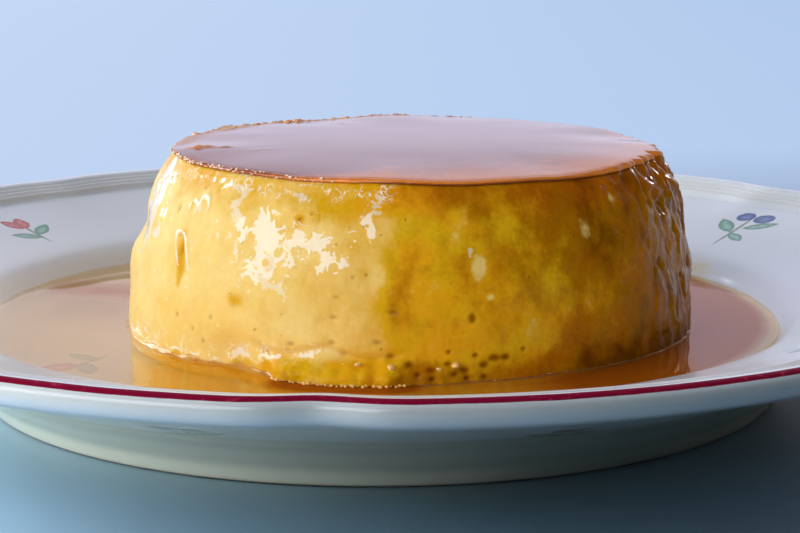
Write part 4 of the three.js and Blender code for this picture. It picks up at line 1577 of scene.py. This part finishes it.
@dataclass(frozen=True)
class Bump:
    """A low lump on the cap: where its middle is, its two half widths and how high it stands."""

    x: float
    y: float
    wide: float
    deep: float
    rise: float

    def share(self, x: Array, y: Array, grown_by: float = 1.0) -> Array:
        """How much of the lump there is at each place, from 0 to 1."""
        return oval_hump(x - self.x, y - self.y, grown_by * self.wide, grown_by * self.deep)


@dataclass
class CaramelCap:
    """The thin glossy cap on top, crumbly along the rim at the back left and running over on the right."""

    form: FlanForm
    finish: CaramelFinish = field(default_factory=CaramelFinish)
    steps: int = 720
    edge_round: float = 0.45
    dome: float = 1.2
    front_dome: float = 0.8
    lift: float = 0.3
    loose_rim: Sector = (70.0, 262.0, 12.0)
    crumbly_rim: Sector = (84.0, 158.0, 10.0)
    frilly_rim: Sector = (170.0, 255.0, 8.0)
    thin_side: Sector = (-88.0, 4.0, 34.0)
    thin_back: Sector = (84.0, 176.0, 12.0)
    # Where painted shade lies on the cap's lip.
    shaded_edge: Sector = (-96.0, 30.0, 8.0)
    most_shaded_edge: Sector = (-96.0, -50.0, 10.0)
    bright_side: Sector = (-100.0, 10.0, 30.0)
    dry_rim: Sector = (96.0, 178.0, 12.0)
    skin: Lumps = Lumps(44)
    bumps: tuple[Bump, ...] = (
        Bump(-37.5, -15.4, 2.6, 1.6, 0.5), Bump(-24.5, -19.0, 1.6, 1.0, 0.2),
        Bump(-32.5, -15.8, 1.3, 0.9, 0.2), Bump(-8.0, 29.0, 3.0, 1.3, 0.12),
        Bump(-33.5, 25.5, 2.6, 1.6, 0.5), Bump(-45.0, 12.0, 1.6, 1.2, 0.3))

    def rim_radius(self, direction: Array) -> Array:
        """The cap's outline, ragged on the left and at the back, smooth on the right."""
        base = self.form.broad_radius(self.form.shoulder(direction), direction)
        spots = self.form.place(base, np.full(len(direction), 50.0), direction)
        loose = sector(direction, *self.loose_rim)
        return base + 0.04 + 0.12 * loose + (0.04 + 0.2 * loose) * self.skin.layered(spots, 2.2, 2)

    def surface(self, reach: Array, inset: Array, direction: Array) -> Array:
        """The height of the top, at a distance from the axis and from the rim."""
        share = np.clip(reach / self.form.top_radius, 0.0, 1.0)
        swell = eased(share, 0.5, 1.0)
        turn = np.radians(direction)
        x, y = self.form.centre_x + reach * np.cos(turn), self.form.centre_y + reach * np.sin(turn)
        spots = np.column_stack([x, y, np.zeros(len(x))])
        nearer = eased(y - self.form.centre_y, 35.0, -25.0)
        height = self.form.top + self.lift + swell * self.form.rim_swell(direction)
        dome = self.dome + self.front_dome * nearer
        height = height + dome * (1.0 - share**3) * eased(inset, -0.5, 2.0)
        height = height + 0.03 * self.skin.layered(spots, 15.0, 2)
        ragged = self.skin.layered(spots + 30.0, 2.4, 3, 0.6)
        for bump in self.bumps:
            height = height + bump.rise * (1.0 + 0.9 * ragged) * bump.share(x, y)
        crumbly = sector(direction, *self.crumbly_rim) * eased(inset, 3.4, 0.6)
        frilly = sector(direction, *self.frilly_rim) * eased(inset, 1.8, 0.3)
        return height + np.maximum(crumbly * (0.05 + 0.55 * ragged), -0.1) + 0.1 * frilly * ragged

    def fields(self, points: Array, inset: Array) -> Fields:
        """What the finish reads.

        Args:
            points: Places on the cap.
            inset: How far each one is from the rim.

        Returns:
            How thin the caramel lies, how much painted shade lies on the lip at the front and right, and how
            dry the surface is.
        """
        x, y = points[:, 0], points[:, 1]
        off_x, off_y = x - self.form.centre_x, y - self.form.centre_y
        turn = np.degrees(np.arctan2(off_y, off_x))
        outside = np.hypot(off_x, off_y) > 1.0
        wide = 2.4 + 15.0 * sector(turn, *self.thin_side) + 2.5 * sector(turn, *self.thin_back)
        raised = sum(bump.share(x, y, 1.3) * min(1.0, 3.0 * bump.rise) for bump in self.bumps)
        # Painted shade on the lip at the front and on the right.
        dark = 0.5 * sector(turn, *self.shaded_edge) + 0.5 * sector(turn, *self.most_shaded_edge)
        bright = 0.35 + 0.5 * sector(turn, *self.bright_side)
        thin = np.maximum(bright * np.exp(-((inset / wide) ** 1.2)), np.clip(raised, 0.0, 0.9))
        dry = sector(turn, *self.dry_rim) * hump(inset, 4.2) + 0.7 * np.clip(raised, 0.0, 1.0)
        return {"rim": thin * outside, "dark": 0.85 * ((inset < 0.05) * outside * dark),
                "dry": np.clip(dry, 0.0, 1.0)}

    def build(self) -> Piece:
        """Builds the cap in rows, from the middle of its underside over the rim to the middle of the top."""
        around = np.arange(self.steps) * (360.0 / self.steps)
        still = np.zeros(self.steps)
        rim = self.rim_radius(around)
        foot = self.form.shoulder(around)
        brim = self.surface(rim, still, around)
        edge = self.edge_round + 0.6 * self.form.overflow(around)
        rows = [(still, still + self.form.cap_bottom, still), (rim - 2.6, foot - 0.25, still),
                (rim - 0.35, foot + 0.02, still), (rim - 0.06, foot + 0.06, still),
                (rim, (foot + brim - edge) / 2.0, still)]
        plain = self.form.plain_radius(foot, around) - self.form.rounding
        insets = np.concatenate([
            np.linspace(0.0, 1.0, 6) ** 1.5 * 1.1, 1.1 + np.cumsum(np.linspace(0.25, 0.8, 22)),
            [14.5, 17.0, 20.0, 24.0, 28.5, 33.5, 39.0, 45.0]])
        for inset in insets:
            here = still + inset
            reach = rim + (plain - rim) * eased(inset, 0.4, 5.0) - here
            short = np.clip(1.0 - here / edge, 0.0, 1.0)
            rounded = edge * (1.0 - np.sqrt(np.maximum(1.0 - short**2, 0.0)))
            rows.append((reach, self.surface(reach, here, around) - rounded, here))
        rows.append((still, still + self.surface(still, rim, around)[0], rim))
        points = np.vstack([self.form.place(reach, height, around) for reach, height, _ in rows])
        fields = self.fields(points, np.concatenate([inset for *_, inset in rows]))
        mesh = closed_mesh("caramel_cap", len(rows), points, fields)
        return new_piece("caramel_cap", mesh, [self.finish.material()], "caramel_layer", stands_for=True)


@dataclass
class SyrupPool:
    """The caramel syrup in the well: a shallow ring with a thin outer edge, creeping up the custard."""

    form: FlanForm
    finish: SyrupFinish = field(default_factory=SyrupFinish)
    edge_radius: float = 86.3
    meniscus: float = 0.4
    left_meniscus: float = 1.3
    steps: int = 720
    floor: float = 11.36
    tilts: tuple[float, ...] = (0.0, 9.0, 18.0, 28.0, 39.0, 51.0, 64.0, 77.0, 90.0)
    shares: tuple[float, ...] = (0.2, 0.4, 0.6, 0.75, 0.86, 0.93, 0.97, 1.0)
    under_shares: tuple[float, ...] = (1.0, 0.97, 0.93, 0.86, 0.75, 0.4)
    creep_side: Sector = (-152.0, -119.0, 4.0)
    amber_side: Sector = (-50.0, 40.0, 40.0)
    flap_shadow: Sector = (-111.0, -94.0, 10.0)
    edge_lumps: Lumps = Lumps(51)

    @staticmethod
    def plate_height(radius: Array) -> Array:
        """The height of the plate's well under a distance from the plate's axis."""
        return np.interp(radius, *np.transpose(WELL_WALL))

    def amber(self, direction: Array) -> Array:
        """How brown the syrup is: paler on the left, darker on the front and the right, partly as painted
        shade on the flan's shaded side.
        """
        left = 0.7 * hump(turn_between(direction, 157.0), 9.0)
        front = 0.1 * hump(turn_between(direction, -92.0), 26.0)
        return 0.85 + 1.35 * sector(direction, *self.amber_side) + front + left

    def painted_flap_shadow(self, direction: Array) -> Array:
        """The painted shadow under the flap at the front: how much darker the syrup is there."""
        return 1.8 * sector(direction, *self.flap_shadow)

    def edge_reach(self, circle: Array | float, direction: Array) -> Array:
        """Distance from the flan's axis to a circle about the plate's middle."""
        turn = np.radians(direction)
        along = self.form.centre_x * np.cos(turn) + self.form.centre_y * np.sin(turn)
        return -along + np.sqrt(along**2 + circle**2 - self.form.centre_x**2 - self.form.centre_y**2)

    def creep(self, around: Array) -> list[tuple[Array, Array]]:
        """The rows where the syrup creeps up the custard, from the top down.

        Args:
            around: Directions from -180 to 180.

        Returns:
            For each row its places and its depths.
        """
        turn = np.radians(around)
        wavy = 1.0 + 0.25 * np.sin(turn * 31.0) + 0.2 * np.sin(turn * 57.0 + 1.0)
        more = (self.left_meniscus - self.meniscus) * sector(around, *self.creep_side)
        rise = self.meniscus + more * wavy
        rows: list[tuple[Array, Array]] = []
        for tilt in np.radians(self.tilts):
            height = self.form.level + rise * (1.0 - math.sin(tilt))
            reach = self.form.broad_radius(height, around) + rise * (1.0 - math.cos(tilt)) - 0.06
            depth = (0.3 + 0.5 * math.sin(tilt)) * self.amber(around) + self.painted_flap_shadow(around)
            rows.append((self.form.place(reach, height, around), depth))
        return rows

    def build(self) -> Piece:
        """Builds the syrup as a closed ring: down the outside, in under the surface and up at the custard."""
        level = self.form.level
        around = turn_between(np.arange(self.steps) * (360.0 / self.steps), 0.0)
        round_flan = self.form.place(np.full(self.steps, 80.0), np.zeros(self.steps), around)
        circle = self.edge_radius + 0.35 + 0.28 * self.edge_lumps.at(round_flan, 9.0)
        outer = self.edge_reach(circle, around)
        tops = self.creep(around)
        inner = np.hypot(tops[-1][0][:, 0] - self.form.centre_x, tops[-1][0][:, 1] - self.form.centre_y)
        for share in self.shares:
            radius = inner + share * (outer - inner)
            ground = self.plate_height(self.form.from_plate_axis(radius, around))
            height = ground + 0.16 if share == 1.0 else level + 0.12 * eased(share, 0.9, 1.0)
            shadow = self.painted_flap_shadow(around) * eased(share, 0.42, 0.0)
            depth = np.clip((level - ground) / 3.0, 0.03, 1.0) * self.amber(around) + shadow
            tops.append((self.form.place(radius, np.maximum(height, ground + 0.12), around), depth))
        bottoms: list[Array] = []
        for share in self.under_shares:
            radius = inner + share * (outer - inner)
            ground = self.plate_height(self.form.from_plate_axis(radius, around))
            bottoms.append(self.form.place(radius, ground + 0.06, around))
        foot = self.form.broad_radius(np.full(self.steps, level), around) - 1.2
        for height in (self.floor, level - 0.5):
            bottoms.append(self.form.place(foot, height, around))
        points = np.vstack([*reversed(bottoms), *(places for places, _ in reversed(tops))])
        depth = np.concatenate([np.zeros(self.steps * len(bottoms)), *(depth for _, depth in reversed(tops))])
        count = len(bottoms) + len(tops)
        row = np.arange(len(points)) // self.steps
        x, y = points[:, 0], points[:, 1]
        # warm marks the front of the pool, where the flan's reflection is painted into the syrup.
        warm = eased(x, -50.0, -42.0) * eased(x, 66.0, 54.0) * eased(y, -20.0, -36.0)
        warm = np.where(row >= count - 8, 0.0, warm)
        mesh = new_mesh("syrup_pool", points, lathe_faces(count, self.steps, Skin.RING),
                        fields={"depth": depth, "warm": warm, "across": x + 0.06 * y})
        finishes = [self.finish.material(), self.finish.under_side()]
        piece = new_piece("syrup_pool", mesh, finishes, "caramel_pool", stands_for=True)
        below = (row < len(bottoms)) | (row == count - 1)
        mesh.polygons.foreach_set("material_index", below.astype(int).tolist())
        return piece


# ---- crumbs and bubbles


def path_mesh(name: str, lines: Sequence[Array]) -> Mesh:
    """A mesh of open lines, for the tools that follow a path."""
    points = np.vstack(lines)
    edges: list[tuple[int, int]] = []
    first = 0
    for line in lines:
        edges += [(first + n, first + n + 1) for n in range(len(line) - 1)]
        first += len(line)
    return new_mesh(name, points, edges=edges)


class Line(Enum):
    """Which line lumps are strewn along."""

    RIM = "the cap's rim"
    FOOT = "round the custard at one height"
    CLIMB = "weaving up the custard's side"
    WELL = "round the plate's well"


@dataclass(frozen=True)
class Strewing:
    """Small lumps strewn along a line; lengths in millimetres, height from the rim for a line on the rim."""

    name: str
    line: Line
    start: float
    end: float
    off: float
    height: float
    count: int
    share: float
    smallest: float
    largest: float
    flatness: float
    scatter: tuple[float, float, float]
    roughness: float
    seed: int
    detail: int = 3

    def settings(self, finish: Material) -> dict[str, object]:
        """What the scattering tool is set to."""
        return {"Material": finish, "Count": self.count, "Share": self.share, "Smallest": self.smallest,
                "Largest": self.largest, "Flatness": self.flatness, "Roughness": self.roughness,
                "Scatter": tuple(MM * s for s in self.scatter), "Detail": self.detail, "Seed": self.seed}


@dataclass
class Trimmings:
    """The small things on and round the flan: crumbs, curds, bubbles and beads of caramel."""

    form: FlanForm
    cap: CaramelCap
    toasted: CrumbFinish = CrumbFinish("toasted_caramel", (1.0, 0.60, 0.34), (1.0, 0.42, 0.18), 0.15)
    # Pale crumbs along the front-left rim, lightened to stand partly for highlights on the ragged edge:
    # partly painted highlight.
    rim_cream: CrumbFinish = CrumbFinish("rim_cream", (1.0, 0.80, 0.58), (1.0, 0.64, 0.38), 0.1)
    curdy: CrumbFinish = CrumbFinish("custard_crumb", (0.95, 0.68, 0.30), (0.92, 0.50, 0.12), 0.2)
    froth: CrumbFinish = CrumbFinish("golden_froth", (0.95, 0.62, 0.16), (0.75, 0.33, 0.03), 1.0)
    bead: SyrupFinish = SyrupFinish("bubble_film", (0.99, 0.95, 0.86), (0.93, 0.80, 0.58), cloud=0.0,
                                    ripple=0.0)
    crumbs: tuple[Strewing, ...] = (
        Strewing("crumbs_back_left", Line.RIM, 104, 160, 1.3, -0.3, 90, 0.75, 0.25, 1.0, 0.5,
                 (1.2, 1.2, 0.1), 0.6, 5),
        Strewing("crumbs_back", Line.RIM, 60, 106, 0.9, -0.25, 60, 0.5, 0.2, 0.7, 0.45,
                 (0.8, 0.8, 0.1), 0.5, 8))
    frills: tuple[Strewing, ...] = (
        Strewing("frill_front_left", Line.RIM, -174, -108, 0.1, -0.2, 190, 0.6, 0.1, 0.34, 0.6,
                 (0.25, 0.25, 0.4), 0.5, 3, 2),)
    curds: tuple[Strewing, ...] = (
        Strewing("curds_at_foot", Line.FOOT, -100, -80, 0.1, 17.4, 8, 0.6, 0.3, 0.9, 0.8,
                 (0.3, 0.3, 1.2), 0.6, 9),)
    froths: tuple[Strewing, ...] = (
        Strewing("bubbles_skirt", Line.FOOT, -116, -92, 0.3, 14.5, 80, 0.75, 0.15, 0.48, 0.9,
                 (0.3, 0.3, 0.1), 0.0, 14),)
    bubbles: tuple[Strewing, ...] = (
        Strewing("bubbles_right", Line.FOOT, -76, -20, 0.3, 14.6, 44, 0.5, 0.25, 0.9, 0.8,
                 (0.5, 0.5, 0.1), 0.0, 19),
        Strewing("bubbles_left", Line.FOOT, -178, -136, 0.4, 14.9, 14, 0.4, 0.25, 0.7, 0.8,
                 (0.6, 0.6, 0.1), 0.0, 25),
        Strewing("beads_right", Line.CLIMB, -27, -33, 0.15, 20, 60, 0.55, 0.25, 0.7, 1.2,
                 (0.2, 0.2, 1.2), 0.1, 31),
        Strewing("drops_in_well", Line.WELL, 31, 35, 88.4, 16.1, 3, 1.0, 1.4, 2.8, 0.35,
                 (0.5, 0.5, 0.0), 0.1, 42))
    pieces: list[Piece] = field(default_factory=list)

    def path(self, strewing: Strewing) -> Array:
        """The line that a strewing follows."""
        share = np.linspace(0.0, 1.0, 60)
        around = strewing.start + (strewing.end - strewing.start) * share
        height = np.full(len(around), strewing.height)
        if strewing.line is Line.WELL:
            turn = np.radians(around)
            return np.column_stack([strewing.off * np.cos(turn), strewing.off * np.sin(turn), height])
        if strewing.line is Line.RIM:
            inset = np.full(len(around), strewing.off)
            rim = self.cap.rim_radius(around) - inset
            return self.form.place(rim, self.cap.surface(rim, inset, around) + height, around)
        if strewing.line is Line.CLIMB:
            around = around + 15.0 * np.sin(23.0 * share)
            height = height + 29.0 * share
        wall = self.form.broad_radius(np.maximum(height, self.form.level), around)
        return self.form.place(wall + strewing.off, height, around)

    def build(self) -> list[Piece]:
        """Strews all the trimmings and gives their pieces."""
        kinds = ((self.crumbs, self.toasted.material(), "caramel_layer"),
                 (self.frills, self.rim_cream.material(), "caramel_layer"),
                 (self.curds, self.curdy.material(), "custard"),
                 (self.froths, self.froth.material(), "caramel_pool"),
                 (self.bubbles, self.bead.material(), "caramel_pool"))
        for strewings, finish, slot in kinds:
            for strewing in strewings:
                start = path_mesh(strewing.name + "_path", [self.path(strewing)])
                mesh = grown(strewing.name, TOOLS.lumps_on_path, start, strewing.settings(finish))
                self.pieces.append(new_piece(strewing.name, mesh, [finish], slot))
        return self.pieces


# ---- studio


class Task(Enum):
    """What a light panel is there for."""

    LIGHT = "it lights matt surfaces"
    SHINE = "it shows in reflections"


@dataclass
class Studio:
    """The pale table, the soft light and the camera."""

    table: TableFinish = field(default_factory=TableFinish)
    camera_place: tuple[float, float, float] = (4.37, -504.3, 123.2)
    camera_down: float = 11.02
    lens: float = 105.75
    sensor_width: float = 36.0
    aim: tuple[float, float, float] = (7.4, -3.1, 34.0)
    table_half: float = 4000.0
    table_height: float = -0.02

    def build_table(self) -> Piece:
        """A large pale table top."""
        half, height = self.table_half, self.table_height
        points = np.array([(x * half, y * half, height) for x, y in ((-1, -1), (1, -1), (1, 1), (-1, 1))])
        table = bpy.data.objects.new("table_top", new_mesh("table_top", points, [(0, 1, 2, 3)]))
        show(table)
        table.data.materials.append(self.table.material())
        return table

    def panel(self, name: str, direction: float, elevation: float, distance: float,
              size: tuple[float, float], radiance: float, colour: Colour, task: Task,
              only: Sequence[Piece] = ()) -> None:
        """A soft light panel that faces the flan.

        Args:
            name: The light's name.
            direction: Where it stands, in degrees from +X.
            elevation: How high it stands, in degrees.
            distance: How far away it is, in metres.
            size: Its width and height, in metres.
            radiance: How bright its face is.
            colour: Its colour.
            task: Whether it lights matt surfaces or shows in reflections.
            only: The pieces it is aimed at; nothing else takes light from it. Empty for all pieces.
        """
        data = bpy.data.lights.new(name, "AREA")
        data.shape = "RECTANGLE"
        data.size, data.size_y = size
        data.energy = radiance * math.pi * size[0] * size[1]
        data.color = colour
        light = bpy.data.objects.new(name, data)
        turn, rise = math.radians(direction), math.radians(elevation)
        back = np.array([math.cos(turn) * math.cos(rise), math.sin(turn) * math.cos(rise), math.sin(rise)])
        light.location = np.array(self.aim) * MM + back * distance
        light.rotation_euler = (math.pi / 2 - rise, 0.0, turn + math.pi / 2)
        light.visible_diffuse = task is Task.LIGHT
        light.visible_glossy = light.visible_transmission = task is Task.SHINE
        light.visible_camera = False
        if only:
            light.light_linking.receiver_collection = bpy.data.collections.new(name + "_aim")
            for piece in only:
                light.light_linking.receiver_collection.objects.link(piece)
        show(light)

    def build_world(self) -> None:
        """A pale sky-blue surround, brighter behind and on the left, dim on the right and in front."""
        world = bpy.data.worlds.new("surround")
        bpy.context.scene.world = world
        world.use_nodes = True
        sheet = Sheet(world.node_tree)
        place = sheet.out("ShaderNodeTexCoord", name="Generated")
        x, y, z = sheet.split(place)
        behind = sheet.eased(y, 0.05, 0.75)
        left = sheet.eased(x, 0.2, -0.8)
        side = sheet.blend(left, (0.03, 0.03, 0.032), (0.80, 0.86, 0.95))
        back = sheet.blend(sheet.eased(x, 0.05, 0.45), (0.88, 0.87, 1.10), (0.84, 0.66, 0.64))
        colour = sheet.blend(behind, side, back)
        front = sheet.eased(y, -0.1, -0.8)
        colour = sheet.blend(sheet.times(front, 0.98), colour, (0.012, 0.012, 0.012))
        colour = sheet.blend(sheet.eased(z, 0.3, 0.75), colour, (0.10, 0.12, 0.15))
        shader = sheet.out("ShaderNodeBackground", {"Color": colour, "Strength": 1.0})
        sheet.node("ShaderNodeOutputWorld", {"Surface": shader})

    def build(self, plate: Piece, pool: Piece, flan: Sequence[Piece]) -> None:
        """Builds the studio round the flan and sets the view."""
        table = self.build_table()
        self.build_world()
        warm, plain, cool = (1.0, 0.985, 0.95), (0.95, 0.98, 1.04), (0.88, 0.95, 1.12)
        self.panel("window_shine", 223.0, 27.0, 2.0, (2.6, 1.05), 3.4, cool, Task.SHINE)
        self.panel("side_shine", 147.0, 18.0, 1.2, (1.0, 0.6), 5.5, plain, Task.SHINE)
        self.panel("side_window", 125.0, 17.0, 1.2, (1.1, 0.55), 3.0, cool, Task.LIGHT)
        self.panel("window_light", 195.0, 18.0, 1.2, (1.4, 0.6), 2.7, warm, Task.LIGHT, (plate, pool, *flan))
        self.panel("plate_light", 100.0, 76.0, 1.2, (1.2, 1.2), 1.2, cool, Task.LIGHT, (plate, pool))
        self.panel("low_light", 194.0, 6.0, 1.0, (0.8, 0.3), 7.6, plain, Task.LIGHT, (plate,))
        self.panel("table_light", 160.0, 20.0, 0.9, (0.7, 0.5), 23.0, cool, Task.LIGHT, (table,))
        self.panel("flan_light", 235.0, 24.0, 1.2, (1.6, 0.7), 1.15, warm, Task.LIGHT, flan)
        self.panel("sparkle", 54.0, 25.0, 1.0, (0.25, 0.12), 30.0, plain, Task.SHINE, flan[:1])
        self.panel("flan_fill", -96.0, 25.0, 1.4, (1.2, 0.6), 2.2, warm, Task.LIGHT, flan)
        data = bpy.data.cameras.new("camera")
        data.lens, data.sensor_width = self.lens, self.sensor_width
        data.clip_start, data.clip_end = 0.01, 20.0
        camera = bpy.data.objects.new("camera", data)
        camera.location = [MM * value for value in self.camera_place]
        camera.rotation_euler = (math.radians(90.0 - self.camera_down), 0.0, 0.0)
        show(camera)
        bpy.context.scene.camera = camera
        bpy.context.scene.view_settings.view_transform = "Standard"


# ---- the whole


def main() -> None:
    """Builds the plate, the flan and its syrup, then the studio round them."""
    logging.basicConfig(level=logging.INFO, format="%(name)s: %(message)s")
    form = FlanForm()
    plate = Plate().build()
    custard = Custard(form).build()
    cap = CaramelCap(form)
    glossy_cap = cap.build()
    pool = SyrupPool(form).build()
    trimmings = Trimmings(form, cap).build()
    Studio().build(plate, pool, (custard, glossy_cap, *trimmings))


if __name__ == "__main__":
    main()
